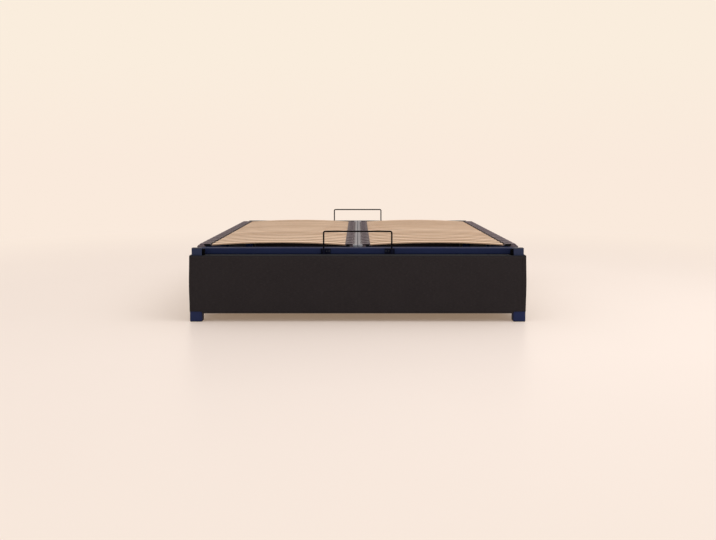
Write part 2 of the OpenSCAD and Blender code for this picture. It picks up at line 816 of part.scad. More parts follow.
// Two peg holes under each cap
module peg_holes(x) {
    for (y = slat_ys, sy = [-1, 1])
        translate([x, y + sy * cap_peg_gap / 2, frame_top_z - tube_wall - 1])
            cylinder(h = tube_wall + 2, r = cap_peg_r);
}

module frame_side(side) {
    color(STEEL_BLUE) on_side(side) difference() {
        translate([frame_w / 2 - side_tube_w / 2, 0, frame_mid_z])
            along_y(-side_tube_l / 2, side_tube_l / 2) tube_section(side_tube_w, frame_tube_h, tube_wall);
        peg_holes(side_peg_x);
    }
}

module frame_end_tube(end) {
    color(STEEL_BLUE) at_end(end) translate([0, frame_end_y - end_tube_w / 2, frame_mid_z])
        along_x(-frame_w / 2, frame_w / 2) tube_section(end_tube_w, frame_tube_h, tube_wall);
}

module frame_centre_tube() {
    color(STEEL_BLUE) difference() {
        translate([0, 0, frame_mid_z])
            along_y(-side_tube_l / 2, side_tube_l / 2) tube_section(centre_tube_w, frame_tube_h, tube_wall);
        on_both_sides() peg_holes(centre_peg_x);
    }
}

// Short bars that tie the centre tube to the side tubes
module cross_bars() {
    color(STEEL_BLUE) on_both_sides() for (y = [-cross_bar_gap / 2, cross_bar_gap / 2])
        translate([0, y, frame_bottom_z + 2 + cross_bar_h / 2])
            along_x(centre_tube_w / 2, side_tube_in) tube_section(cross_bar_w, cross_bar_h, tube_wall);
}

// Plastic plugs in the ends of the foot tube
module foot_tube_plugs() {
    bore_w = end_tube_w - 2 * tube_wall - 2 * plug_clear;
    bore_h = frame_tube_h - 2 * tube_wall - 2 * plug_clear;
    color(RUBBER_BLACK) on_both_sides() translate([0, -frame_end_y + end_tube_w / 2, frame_mid_z]) {
        along_x(frame_w / 2 - post_plug_l, frame_w / 2) square([bore_w, bore_h], center = true);
        along_x(frame_w / 2, frame_w / 2 + 1.5) rounded_rect(end_tube_w, frame_tube_h, tube_corner_r);
    }
}

// Two light strips, side by side along the centre tube
module centre_strips() {
    color(STRIP_GREY) on_both_sides()
        translate([strip_gap / 2 + strip_w / 2, 0, frame_top_z + strip_h / 2])
            along_y(-side_tube_l / 2, side_tube_l / 2) {
                rounded_rect(strip_w, strip_h, 2.5);
                translate([0, -strip_h / 4]) square([strip_w, strip_h / 2], center = true);
            }
}

// ---- Slats and their caps ----

// One crowned slat at y = 0, grown all round by a clearance
module slat_form(grow, inner_x, outer_x) {
    along_y(-slat_w / 2 - grow, slat_w / 2 + grow) intersection() {
        difference() {
            translate([slat_mid_x, slat_arc_z]) circle(slat_arc_r + grow, $fn = ARC_FN);
            translate([slat_mid_x, slat_arc_z]) circle(slat_arc_r - slat_t - grow, $fn = ARC_FN);
        }
        translate([inner_x, frame_bottom_z]) square([outer_x - inner_x, 4 * frame_tube_h]);
    }
}

module slats(side) {
    color(BEECH) on_side(side) for (y = slat_ys)
        translate([0, y, 0]) slat_form(0, slat_inner_x, slat_outer_x);
}

// A cap's sleeve: its side view meets its end view, whose top corners are round
module cap_sleeve(side_view, from_x, to_x, top_z) {
    sleeve_h = top_z - frame_top_z;
    intersection() {
        along_y(-sleeve_w / 2, sleeve_w / 2) polygon(side_view);
        along_x(from_x, to_x) translate([0, frame_top_z]) {
            translate([-sleeve_w / 2, -1]) square([sleeve_w, sleeve_h - sleeve_corner_r + 1]);
            translate([0, sleeve_h / 2]) rounded_rect(sleeve_w, sleeve_h, sleeve_corner_r);
        }
    }
}

module cap_pegs(x) {
    for (sy = [-1, 1]) translate([x, sy * cap_peg_gap / 2, frame_top_z - cap_peg_l])
        cylinder(h = cap_peg_l + 1, r = cap_peg_r);
}

// The cap at a slat's outer end: a sleeve on a base with wings and a bumper beside the rail
module side_cap() {
    rail_x = frame_w / 2;
    out_x = rail_x + side_bumper_w;
    under_x = side_cap_in + cap_mouth_slant;
    mouth_z = cap_top_at(side_cap_in);
    base_top_z = frame_top_z + cap_base_t;
    difference() {
        union() {
            cap_sleeve([[under_x, cap_under_at(under_x)], [side_base_in, cap_under_at(side_base_in)],
                        [side_base_in, frame_top_z], [out_x - cap_end_ease, frame_top_z],
                        [out_x - cap_end_ease, base_top_z], [rail_x - cap_end_ease, mouth_z - 1],
                        [side_cap_in, mouth_z]],
                       side_cap_in, out_x, mouth_z);
            translate([side_base_in, -cap_base_l / 2, frame_top_z])
                cube([out_x - side_base_in, cap_base_l, cap_base_t]);
            translate([rail_x + side_bumper_gap, -cap_base_l / 2, frame_top_z - side_bumper_drop])
                cube([side_bumper_w - side_bumper_gap, cap_base_l, side_bumper_drop + 1]);
            cap_pegs(side_peg_x);
        }
        slat_form(slat_clear, side_cap_in - 1, slat_outer_x + slat_clear);
    }
}

// The cap at a slat's inner end, closed towards the centre strips
module centre_cap() {
    under_x = centre_cap_out - cap_mouth_slant;
    mouth_z = cap_top_at(centre_cap_out);
    end_z = cap_top_at(slat_inner_x);
    difference() {
        union() {
            cap_sleeve([[centre_cap_in, frame_top_z], [centre_base_out, frame_top_z],
                        [centre_base_out, cap_under_at(centre_base_out)], [under_x, cap_under_at(under_x)],
                        [centre_cap_out, mouth_z], [centre_cap_in + 1.5, end_z], [centre_cap_in, end_z - 1.5]],
                       centre_cap_in, centre_cap_out, mouth_z);
            translate([centre_cap_in, -cap_base_l / 2, frame_top_z])
                cube([centre_base_w, cap_base_l, cap_base_t]);
            cap_pegs(centre_peg_x);
        }
        slat_form(slat_clear, slat_inner_x - slat_clear, centre_cap_out + 1);
    }
}

module side_caps(side) {
    color(CAP_MAUVE) on_side(side) for (y = slat_ys) translate([0, y, 0]) side_cap();
}

module centre_caps(side) {
    color(CAP_MAUVE) on_side(side) for (y = slat_ys) translate([0, y, 0]) centre_cap();
}

// ---- Mattress stops ----

// A wire loop: two uprights, two quarter bends and the top wire
module mattress_stop(end) {
    top_z = frame_top_z + loop_rise;
    low_z = stop_low_z + socket_floor;
    color(WIRE_BROWN) at_end(end) translate([0, wire_y, 0]) {
        translate([0, 0, top_z]) bar_x(wire_r, -loop_w / 2 + wire_bend_r, loop_w / 2 - wire_bend_r);
        on_both_sides() {
            translate([loop_w / 2, 0, low_z]) cylinder(h = top_z - wire_bend_r - low_z, r = wire_r);
            translate([loop_w / 2 - wire_bend_r, 0, top_z - wire_bend_r]) rotate([90, 0, 0])
                rotate_extrude(angle = 90) translate([wire_bend_r, 0]) circle(wire_r);
        }
    }
}

// Plates on the tube's face, each with a socket for one end of the wire
module stop_brackets(end) {
    color(STEEL_BLUE) at_end(end) on_both_sides() difference() {
        union() {
            translate([stop_plate_in, frame_end_y, stop_low_z])
                cube([stop_plate_w, stop_plate_t, stop_high_z - stop_low_z]);
            translate([loop_w / 2, wire_y, stop_low_z])
                cylinder(h = stop_high_z - stop_low_z, r = socket_r);
        }
        translate([loop_w / 2, wire_y, stop_low_z + socket_floor])
            cylinder(h = stop_high_z - stop_low_z, r = wire_r);
        translate([0, -frame_end_y, 0]) cube([frame_w, 4 * frame_end_y, 4 * frame_top_z], center = true);
    }
}

foot_post(-1);  // post_foot_left
foot_post(1);  // post_foot_right
head_post(-1);  // post_head_left
head_post(1);  // post_head_right
post_caps();
foot(-1, -1);  // foot_foot_left
foot(1, -1);  // foot_foot_right
foot(-1, 1);  // foot_head_left
foot(1, 1);  // foot_head_right
glides();
lower_side_rail(-1);  // lower_rail_left
lower_side_rail(1);  // lower_rail_right
lower_end_rail(-1);  // lower_rail_foot
lower_end_rail(1);  // lower_rail_head
upper_side_rail(-1);  // upper_rail_left
upper_side_rail(1);  // upper_rail_right
upper_end_rail(-1);  // upper_rail_foot
upper_end_rail(1);  // upper_rail_head
mid_uprights();
rail_bolts();
floor_beam();
centre_legs();
floor_panel(-1);  // floor_panel_left
floor_panel(1);  // floor_panel_right
fabric_side(-1);  // fabric_wall_left
fabric_side(1);  // fabric_wall_right
fabric_end(-1, frame_end_y + foot_hem_gap);  // fabric_wall_foot
fabric_end(1, post_in_y + fit_gap);  // fabric_wall_head
rest_pads();
hinge_ears();
hinge_bolts();
hinge_washers();
hinge_plugs();
strut_base_brackets();
bracket_bolts();
strut_frame_brackets();
strut_cylinder(-1);  // strut_cylinder_left
strut_cylinder(1);  // strut_cylinder_right
strut_rod(-1);  // strut_rod_left
strut_rod(1);  // strut_rod_right
frame_side(-1);  // frame_side_left
frame_side(1);  // frame_side_right
frame_end_tube(-1);  // frame_foot_tube
frame_end_tube(1);  // frame_head_tube
frame_centre_tube();
cross_bars();
foot_tube_plugs();
centre_strips();
side_caps(-1);  // side_caps_left
side_caps(1);  // side_caps_right
centre_caps(-1);  // centre_caps_left
centre_caps(1);  // centre_caps_right
slats(-1);  // slats_left
slats(1);  // slats_right
mattress_stop(-1);  // mattress_stop_foot
mattress_stop(1);  // mattress_stop_head
stop_brackets(-1);  // stop_brackets_foot
stop_brackets(1);  // stop_brackets_head
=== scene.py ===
"""Looks of the lift-up storage bed base: sprung slats, moulded caps, sewn fabric walls and finishes."""

import math

import bmesh
import bpy
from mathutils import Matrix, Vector, noise


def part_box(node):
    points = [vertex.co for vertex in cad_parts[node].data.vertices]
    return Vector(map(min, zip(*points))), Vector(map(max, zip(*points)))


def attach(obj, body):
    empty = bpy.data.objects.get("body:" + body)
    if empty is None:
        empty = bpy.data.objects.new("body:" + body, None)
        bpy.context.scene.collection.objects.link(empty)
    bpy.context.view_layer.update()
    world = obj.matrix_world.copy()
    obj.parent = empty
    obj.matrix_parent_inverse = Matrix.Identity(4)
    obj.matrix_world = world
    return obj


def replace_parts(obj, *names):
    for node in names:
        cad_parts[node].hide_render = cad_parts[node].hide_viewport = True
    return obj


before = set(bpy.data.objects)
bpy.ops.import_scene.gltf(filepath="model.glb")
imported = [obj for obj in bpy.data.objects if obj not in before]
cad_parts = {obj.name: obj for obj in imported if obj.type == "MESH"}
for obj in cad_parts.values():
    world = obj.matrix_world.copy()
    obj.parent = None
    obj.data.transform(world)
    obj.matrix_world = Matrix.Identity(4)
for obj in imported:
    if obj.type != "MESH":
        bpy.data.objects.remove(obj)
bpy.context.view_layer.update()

scene = bpy.context.scene
SIDES = (("left", -1), ("right", 1))

# ---- Sizes in metres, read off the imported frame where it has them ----

slat_low, slat_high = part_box("slats_right")
SLAT_W = 0.053
SLAT_T = 0.008
SLAT_CROWN = 0.012
SLAT_EDGE_R = 0.0022
SLAT_PITCH = 0.096
SLAT_FIRST_Y = slat_low.y + SLAT_W / 2
SLAT_COUNT = round((slat_high.y - slat_low.y - SLAT_W) / SLAT_PITCH) + 1
SIDE_MOUTH_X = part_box("side_caps_right")[0].x
SIDE_END_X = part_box("side_caps_right")[1].x
RAIL_OUT_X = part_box("frame_side_right")[1].x
CENTRE_MOUTH_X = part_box("centre_caps_right")[1].x
CENTRE_END_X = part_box("centre_caps_right")[0].x
SLAT_MID_X = (SIDE_MOUTH_X + CENTRE_MOUTH_X) / 2
SLAT_HALF_SPAN = (SIDE_MOUTH_X - CENTRE_MOUTH_X) / 2
SLAT_ARC_R = (SLAT_HALF_SPAN**2 + SLAT_CROWN**2) / (2 * SLAT_CROWN)
SLAT_CREST_Z = slat_high.z

TUBE_TOP_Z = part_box("centre_strips")[0].z
CAP_WALL = 0.0025
SLAT_CLEAR = 0.0002
CAP_HALF_W = SLAT_W / 2 + SLAT_CLEAR + CAP_WALL
CAP_WING_ROUND = 0.006
CAP_BASE_T = 0.005
CAP_BASE_HALF_L = 0.045
PEG_HALF_GAP = 0.018
BUMPER_DROP = 0.006
BUMPER_GAP = 0.002
BUMPER_INSET = 0.006
BUMPER_ROUND = 0.0088
WINDOW_DEPTH = 0.0016
WINDOW_LINTEL = 0.0024
COLLAR_T = 0.0008

WALL_TOP_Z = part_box("fabric_wall_foot")[1].z
WALL_BOTTOM_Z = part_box("fabric_wall_foot")[0].z
WALL_STEP = 0.009
WALL_T = 0.009
WALL_HEM_T = 0.0028
WALL_ROUND = 0.0028
WALL_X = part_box("fabric_wall_foot")[1].x
WALL_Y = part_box("fabric_wall_head")[1].y
SIDE_WALL_HALF_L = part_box("fabric_wall_right")[1].y
FOOT_FROM_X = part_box("foot_foot_right")[0].x - 0.0005
FOOT_FROM_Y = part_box("foot_head_right")[0].y - 0.0005


def slat_top_at(x):
    """Height of a slat's upper face at a distance x from the middle of the bed."""
    return SLAT_CREST_Z - SLAT_ARC_R + math.sqrt(SLAT_ARC_R**2 - (abs(x) - SLAT_MID_X) ** 2)


# ---- Mesh helpers ----


def as_object(name, mesh, smooth_angle=38):
    """Puts a mesh in the scene as an object at the origin, smooth except at its sharp edges."""
    mesh.name = name
    mesh.shade_smooth()
    mesh.set_sharp_from_angle(angle=math.radians(smooth_angle))
    piece = bpy.data.objects.new(name, mesh)
    scene.collection.objects.link(piece)
    return piece


def close_mesh(bm, name):
    """Turns a bmesh into a mesh whose faces point outwards."""
    bmesh.ops.remove_doubles(bm, verts=bm.verts, dist=1e-6)
    bmesh.ops.recalc_face_normals(bm, faces=bm.faces)
    mesh = bpy.data.meshes.new(name)
    bm.to_mesh(mesh)
    bm.free()
    return mesh


def loft(bm, rings):
    """Skins rings of equally many points and closes both ends."""
    rows = [[bm.verts.new(p) for p in ring] for ring in rings]
    count = len(rows[0])
    for row, after in zip(rows, rows[1:]):
        for i in range(count):
            bm.faces.new((row[i], row[(i + 1) % count], after[(i + 1) % count], after[i]))
    bm.faces.new(rows[0])
    bm.faces.new(rows[-1])


def soft_block(bm, x, y, z, edge):
    """A block with rounded edges; x, y and z each give its two ends in either order."""
    low, high = (Vector(pick(ends) for ends in (x, y, z)) for pick in (min, max))
    made = bmesh.ops.create_cube(bm, size=1)["verts"]
    middle, size = (low + high) / 2, high - low
    for v in made:
        v.co = middle + Vector(v.co[i] * size[i] for i in range(3))
    edges = list({e for v in made for e in v.link_edges})
    bmesh.ops.bevel(bm, geom=edges, offset=edge, segments=2, profile=0.5, affect="EDGES")


def grown(tree, inputs, name, mesh=None):
    """A new object with what a Geometry Nodes tree makes of a mesh, or of nothing.
    The tree's inputs are set by their sockets' identifiers; the maker is deleted with its modifier."""
    maker = as_object("maker", mesh or bpy.data.meshes.new("maker"))
    made = maker.modifiers.new(tree.name, "NODES")
    made.node_group = tree
    for item in tree.interface.items_tree:
        if item.item_type == "SOCKET" and item.in_out == "INPUT" and item.name in inputs:
            made[item.identifier] = inputs[item.name]
    depsgraph = bpy.context.evaluated_depsgraph_get()
    result = bpy.data.meshes.new_from_object(
        maker.evaluated_get(depsgraph), preserve_all_data_layers=True, depsgraph=depsgraph
    )
    maker_mesh = maker.data
    bpy.data.objects.remove(maker)
    bpy.data.meshes.remove(maker_mesh)
    return as_object(name, result)


# ---- Node helpers ----


def opaque(colour):
    """A colour of three numbers with its alpha; anything else as it is."""
    return (*colour, 1.0) if isinstance(colour, tuple) and len(colour) == 3 else colour


def tone(colour, factor):
    """A linear colour made lighter or darker."""
    return tuple(c * factor for c in colour)


class Nodes:
    """A node tree and short ways to add to it. Most of them give the new node's first output."""

    def __init__(self, tree):
        self.tree = tree

    def feed(self, node, inputs):
        """Gives a node its inputs, each a value or the socket that feeds it."""
        for key, value in inputs.items():
            if isinstance(value, bpy.types.NodeSocket):
                self.tree.links.new(value, node.inputs[key])
            else:
                node.inputs[key].default_value = value
        return node

    def put(self, kind, inputs=None, **settings):
        """Adds a node: its settings, then its inputs. Gives the node."""
        node = self.tree.nodes.new(kind)
        for key, value in settings.items():
            setattr(node, key, value)
        return self.feed(node, inputs or {})

    def out(self, kind, inputs=None, **settings):
        return self.put(kind, inputs, **settings).outputs[0]

    def maths(self, operation, *values):
        return self.out("ShaderNodeMath", dict(enumerate(values)), operation=operation)

    def times(self, first, second):
        return self.maths("MULTIPLY", first, second)

    def vector(self, operation, *values):
        return self.out("ShaderNodeVectorMath", dict(enumerate(values)), operation=operation)

    def parts(self, vector):
        """The three numbers of a vector."""
        return self.put("ShaderNodeSeparateXYZ", {0: vector}).outputs

    def joined(self, x=0.0, y=0.0, z=0.0):
        """A vector of three numbers."""
        return self.out("ShaderNodeCombineXYZ", {0: x, 1: y, 2: z})

    def place(self, kind):
        """One kind of texture coordinate."""
        return self.put("ShaderNodeTexCoord").outputs[kind]

    def remap(self, value, low, high, to_low=0.0, to_high=1.0, **settings):
        """A value's range moved to another range, held inside it."""
        return self.out("ShaderNodeMapRange", {0: value, 1: low, 2: high, 3: to_low, 4: to_high}, **settings)

    def blend(self, factor, first, second):
        """Two colours mixed by a factor."""
        inputs = {0: factor, 6: opaque(first), 7: opaque(second)}
        return self.put("ShaderNodeMix", inputs, data_type="RGBA").outputs[2]

    def noise(self, place, scale, detail=2.0, roughness=0.5, **settings):
        inputs = {"Vector": place, "Scale": scale, "Detail": detail, "Roughness": roughness}
        return self.out("ShaderNodeTexNoise", inputs, **settings)

    def bump(self, strength, distance, height, **more):
        return self.out("ShaderNodeBump", {"Strength": strength, "Distance": distance, "Height": height, **more})

    def group(self, made, inputs):
        """Places a node group. Gives its outputs."""
        kind = "GeometryNodeGroup" if made.bl_idname == "GeometryNodeTree" else "ShaderNodeGroup"
        return self.put(kind, inputs, node_tree=made).outputs

    def solid(self, copies, finish):
        """Instances made real, in one material."""
        real = self.out("GeometryNodeRealizeInstances", {0: copies})
        return self.out("GeometryNodeSetMaterial", {"Geometry": real, "Material": finish})


class Group(Nodes):
    """A new node group. Inputs and outputs name each socket's type; a number there is a default."""

    def __init__(self, name, inputs, outputs, kind="ShaderNodeTree"):
        super().__init__(bpy.data.node_groups.new(name, kind))
        for label, given in inputs.items():
            typed = isinstance(given, str)
            socket_type = given if typed else "Int" if isinstance(given, int) else "Float"
            socket = self.new_socket(label, "INPUT", socket_type)
            if not typed:
                socket.default_value = given
        for label, socket_type in outputs.items():
            self.new_socket(label, "OUTPUT", socket_type)
        self.given = self.tree.nodes.new("NodeGroupInput").outputs
        self.end = self.tree.nodes.new("NodeGroupOutput")

    def new_socket(self, label, in_out, socket_type):
        return self.tree.interface.new_socket(label, in_out=in_out, socket_type=f"NodeSocket{socket_type}")

    def done(self, outputs):
        """Feeds the group's outputs and gives the finished group."""
        self.feed(self.end, outputs)
        return self.tree


# ---- Surface effects: groups that several materials place ----


def make_tone_drift():
    """Slow drift of tone over a surface, from 0 to 1."""
    nodes = Group("tone drift", {"Position": "Vector", "Scale": 6.0}, {"Tone": "Float"})
    wide = nodes.noise(nodes.given["Position"], nodes.given["Scale"], 3.0)
    return nodes.done({"Tone": nodes.remap(wide, 0.3, 0.7)})


def make_moulded_skin():
    """Height of a fine skin: powder coat's orange peel, or the spark grain of a mould."""
    nodes = Group("moulded skin", {"Position": "Vector", "Grains per Metre": 700.0}, {"Height": "Float"})
    place, grains = nodes.given["Position"], nodes.given["Grains per Metre"]
    fine = nodes.noise(place, grains, 2.0, 0.6)
    cells = nodes.put("ShaderNodeTexVoronoi", {"Vector": place, "Scale": grains}).outputs["Distance"]
    return nodes.done({"Height": nodes.maths("ADD", fine, nodes.times(cells, 0.35))})


def make_rounded_edges():
    """Edges softened in the light, and a mask of where they are rubbed."""
    inputs = {"Position": "Vector", "Rub Breakup": 90.0}
    nodes = Group("rounded edges", inputs, {"Normal": "Vector", "Rub": "Float"})
    soft = nodes.out("ShaderNodeBevel", {"Radius": 0.0009}, samples=4)
    flat = nodes.put("ShaderNodeNewGeometry").outputs["Normal"]
    likeness = nodes.vector("DOT_PRODUCT", soft, flat).node.outputs["Value"]
    patches = nodes.noise(nodes.given["Position"], nodes.given["Rub Breakup"], 4.0)
    rub = nodes.times(nodes.remap(likeness, 0.995, 0.86), nodes.remap(patches, 0.45, 0.65))
    return nodes.done({"Normal": soft, "Rub": rub})


def make_settled_dust():
    """Mask of thin dust on the faces that look up."""
    nodes = Group("settled dust", {"Position": "Vector"}, {"Dust": "Float"})
    looks_up = nodes.remap(nodes.parts(nodes.place("Normal"))[2], 0.6, 1.0)
    specks = nodes.noise(nodes.given["Position"], 34.0, 6.0, 0.7)
    return nodes.done({"Dust": nodes.times(looks_up, nodes.remap(specks, 0.42, 0.75))})


def make_beech_figure():
    """Beech along X: broad bands, dark pore flecks, the glue lines of a slat's pressed layers, and a mask of the
    slats' side faces for painted shade.
    """
    outputs = {"Bands": "Float", "Flecks": "Float", "Glue Lines": "Float", "Sawn Side": "Float"}
    nodes = Group("beech figure", {"Position": "Vector", "Board": 0.0}, outputs)
    place, board = nodes.given["Position"], nodes.given["Board"]
    moved = nodes.vector("ADD", place, nodes.joined(nodes.times(board, 7.0), nodes.times(board, 3.0)))
    wander = nodes.noise(nodes.vector("MULTIPLY", moved, (2.2, 9.0, 9.0)), 1.0)
    shift = nodes.joined(y=nodes.times(nodes.maths("SUBTRACT", wander, 0.5), 0.045))
    bent = nodes.vector("ADD", moved, shift)
    bands = nodes.noise(nodes.vector("MULTIPLY", bent, (1.4, 85.0, 40.0)), 1.0, 4.0, 0.62)
    flecks = nodes.noise(nodes.vector("MULTIPLY", bent, (38.0, 900.0, 500.0)), 1.0)
    layer = nodes.maths("PINGPONG", nodes.parts(place)[2], 0.00055)
    # Side faces: where the glue lines show, and where the beech finish paints shade.
    side_faces = nodes.remap(nodes.maths("ABSOLUTE", nodes.parts(nodes.place("Normal"))[1]), 0.6, 0.9)
    return nodes.done({
        "Bands": nodes.remap(bands, 0.32, 0.68),
        "Flecks": nodes.remap(flecks, 0.6, 0.72),
        "Glue Lines": nodes.times(nodes.remap(layer, 0.00012, 0.00003), side_faces),
        "Sawn Side": side_faces,
    })


def make_plain_weave():
    """Over-and-under weave on coordinates in metres: the threads' height, and where the warp shows."""
    inputs = {"Cloth Place": "Vector", "Threads per Metre": 900.0}
    nodes = Group("plain weave", inputs, {"Height": "Float", "Warp Shows": "Float"})
    place = nodes.given["Cloth Place"]
    wobble = nodes.noise(place, 60.0, noise_dimensions="2D").node.outputs["Color"]
    slip = nodes.vector("MULTIPLY", nodes.vector("SUBTRACT", wobble, (0.5, 0.5, 0.5)), (0.0012, 0.0012, 0.0))
    laid_in = {0: nodes.vector("ADD", place, slip), "Scale": nodes.given["Threads per Metre"]}
    across, along, _ = nodes.parts(nodes.out("ShaderNodeVectorMath", laid_in, operation="SCALE"))
    warp, weft = (
        nodes.maths("ABSOLUTE", nodes.maths("SINE", nodes.times(run, math.pi))) for run in (across, along)
    )
    cell = nodes.maths("ADD", nodes.maths("FLOOR", across), nodes.maths("FLOOR", along))
    warp_up = nodes.maths("GREATER_THAN", nodes.maths("FLOORED_MODULO", cell, 2.0), 0.5)
    under = nodes.times(weft, nodes.maths("SUBTRACT", 1.0, warp_up))
    height = nodes.maths("ADD", nodes.times(warp, warp_up), under)
    return nodes.done({"Height": height, "Warp Shows": warp_up})


TONE_DRIFT = make_tone_drift()
MOULDED_SKIN = make_moulded_skin()
ROUNDED_EDGES = make_rounded_edges()
SETTLED_DUST = make_settled_dust()
BEECH_FIGURE = make_beech_figure()
PLAIN_WEAVE = make_plain_weave()

DUST_TONE = (0.3, 0.27, 0.24)


# ---- Materials ----


class Finish(Nodes):
    """A new material: its Principled shader with its plain values set, and its object position."""

    def __init__(self, name, **constants):
        self.material = bpy.data.materials.new(name)
        self.material.use_nodes = True
        super().__init__(self.material.node_tree)
        self.shader = self.tree.nodes["Principled BSDF"]
        for key, value in constants.items():
            self.shader.inputs[key.replace("_", " ")].default_value = value
        self.position = self.place("Object")

    def drift(self, scale):
        return self.group(TONE_DRIFT, {"Position": self.position, "Scale": scale})[0]

    def edges(self):
        return self.group(ROUNDED_EDGES, {"Position": self.position})

    def dust(self, strength):
        return self.times(self.group(SETTLED_DUST, {"Position": self.position})[0], strength)

    def done(self, inputs):
        """Feeds the shader and gives the finished material."""
        self.feed(self.shader, inputs)
        return self.material


def coated(name, colour, rubbed, roughness, grains, skin, specular, dust=0.03, drift=0.12, coat=0.0):
    """A painted or moulded finish: drifting tone, grained skin, softened rubbed edges and thin dust."""
    nodes = Finish(name, Specular_IOR_Level=specular, Coat_Weight=coat)
    drifting, edges, dusty = nodes.drift(5.0), nodes.edges(), nodes.dust(dust)
    body = nodes.blend(drifting, tone(colour, 1 - drift), tone(colour, 1 + drift))
    worn = nodes.blend(nodes.times(edges["Rub"], 0.6), body, rubbed)
    matt = nodes.remap(drifting, 0.0, 1.0, roughness - 0.03, roughness + 0.03)
    height = nodes.group(MOULDED_SKIN, {"Position": nodes.position, "Grains per Metre": grains})[0]
    return nodes.done({
        "Base Color": nodes.blend(dusty, worn, DUST_TONE),
        "Roughness": nodes.maths("ADD", matt, nodes.times(dusty, 1.5)),
        "Normal": nodes.bump(skin, 0.0002, height, Normal=edges["Normal"]),
    })


def zinc_plate():
    """Bright zinc on bolts, washers and rods, with a faint spangle."""
    nodes = Finish("zinc plate", Metallic=1.0)
    cells = nodes.put("ShaderNodeTexVoronoi", {"Vector": nodes.position, "Scale": 420.0})
    return nodes.done({
        "Base Color": nodes.blend(cells.outputs["Color"], (0.54, 0.55, 0.56), (0.68, 0.68, 0.67)),
        "Roughness": nodes.remap(nodes.drift(40.0), 0.0, 1.0, 0.28, 0.42),
        "Normal": nodes.edges()["Normal"],
    })


def beech_wood():
    """Pale varnished beech, each slat with its own tone and figure, with painted shade on the slats' side faces."""
    nodes = Finish("beech", Coat_Roughness=0.3, Specular_IOR_Level=0.4)
    own = nodes.put("ShaderNodeAttribute", attribute_name="slat_tone").outputs["Fac"]
    figure = nodes.group(BEECH_FIGURE, {"Position": nodes.position, "Board": own})
    pale = nodes.blend(own, (0.7, 0.45, 0.28), (0.86, 0.595, 0.4))
    deep = nodes.blend(own, (0.48, 0.29, 0.17), (0.64, 0.415, 0.265))
    wood = nodes.blend(figure["Bands"], pale, deep)
    marks = (
        ("Flecks", 0.45, (0.3, 0.17, 0.1)),
        ("Glue Lines", 0.35, (0.32, 0.2, 0.12)),
        # Painted shade: the slats' side faces darker than their lit tops.
        ("Sawn Side", 0.44, (0.34, 0.2, 0.115)),
    )
    for mark, strength, colour in marks:
        wood = nodes.blend(nodes.times(figure[mark], strength), wood, colour)
    grain = nodes.maths("SUBTRACT", nodes.times(figure["Bands"], 0.3), figure["Flecks"])
    return nodes.done({
        "Base Color": wood,
        "Roughness": nodes.remap(figure["Bands"], 0.0, 1.0, 0.42, 0.54),
        "Coat Weight": nodes.remap(own, 0.0, 1.0, 0.1, 0.22),
        "Normal": nodes.bump(0.25, 0.0002, grain),
    })


def wall_cloth():
    """Brown-black upholstery cloth: plain weave of two thread tones, slubs and a soft nap, with painted light on the
    top of the hem and painted shade on its outer part and rounded edge.
    """
    nodes = Finish("wall cloth", Sheen_Weight=0.04, Sheen_Roughness=0.5, Specular_IOR_Level=0.12)
    cloth_place = nodes.out("ShaderNodeUVMap", uv_map="cloth")
    weave = nodes.group(PLAIN_WEAVE, {"Cloth Place": cloth_place, "Threads per Metre": 850.0})
    slub_place = nodes.vector("MULTIPLY", cloth_place, (60.0, 900.0, 0.0))
    slubs = nodes.noise(slub_place, 1.0, noise_dimensions="2D")
    drifting = nodes.group(TONE_DRIFT, {"Position": cloth_place, "Scale": 9.0})[0]
    x, y, z = nodes.parts(nodes.position)
    # Masks for the painted light on the top of the hem and the painted shade on its outer part and rounded edge.
    on_top = nodes.remap(z, WALL_TOP_Z - 0.0045, WALL_TOP_Z - 0.0015)
    out_y = nodes.remap(nodes.maths("ABSOLUTE", y), WALL_Y - 0.042, WALL_Y - 0.022)
    out_x = nodes.remap(nodes.maths("ABSOLUTE", x), WALL_X - 0.01, WALL_X - 0.006)
    painted_edge_shade = nodes.times(on_top, nodes.maths("MAXIMUM", out_y, out_x))
    tint = nodes.blend(weave["Warp Shows"], (0.018, 0.014, 0.0145), (0.0245, 0.019, 0.0195))
    layers = (
        (nodes.remap(slubs, 0.5, 0.8), (0.037, 0.029, 0.029)),
        # Painted shade between the threads: the cloth darker where the weave is low.
        (nodes.remap(weave["Height"], 0.45, 0.1, 0.0, 0.6), (0.008, 0.0065, 0.0065)),
        (nodes.times(drifting, 0.12), (0.045, 0.037, 0.036)),
        # Painted light: the top of the hem lighter and bluish, as lit from above.
        (nodes.times(on_top, 0.6), (0.036, 0.04, 0.054)),
        # Painted shade: the hem's outer top and rounded edge darkened.
        (nodes.times(painted_edge_shade, 0.75), (0.0055, 0.0045, 0.0045)),
    )
    for mask, colour in layers:
        tint = nodes.blend(mask, tint, colour)
    raised = nodes.maths("ADD", weave["Height"], nodes.times(slubs, 0.5))
    return nodes.done({
        "Base Color": tint,
        "Roughness": nodes.remap(drifting, 0.0, 1.0, 0.86, 0.95),
        "Normal": nodes.bump(0.5, 0.0004, raised),
    })


def hem_thread():
    """Twisted dark thread of the hem stitches."""
    nodes = Finish("hem thread", Roughness=0.7, Sheen_Weight=0.2)
    twist_in = {"Vector": nodes.position, "Scale": 900.0, "Distortion": 1.0}
    twist = nodes.put("ShaderNodeTexWave", twist_in, bands_direction="DIAGONAL").outputs["Fac"]
    tint = nodes.blend(twist, (0.018, 0.015, 0.015), (0.045, 0.037, 0.035))
    return nodes.done({"Base Color": tint, "Normal": nodes.bump(0.4, 0.0002, twist)})


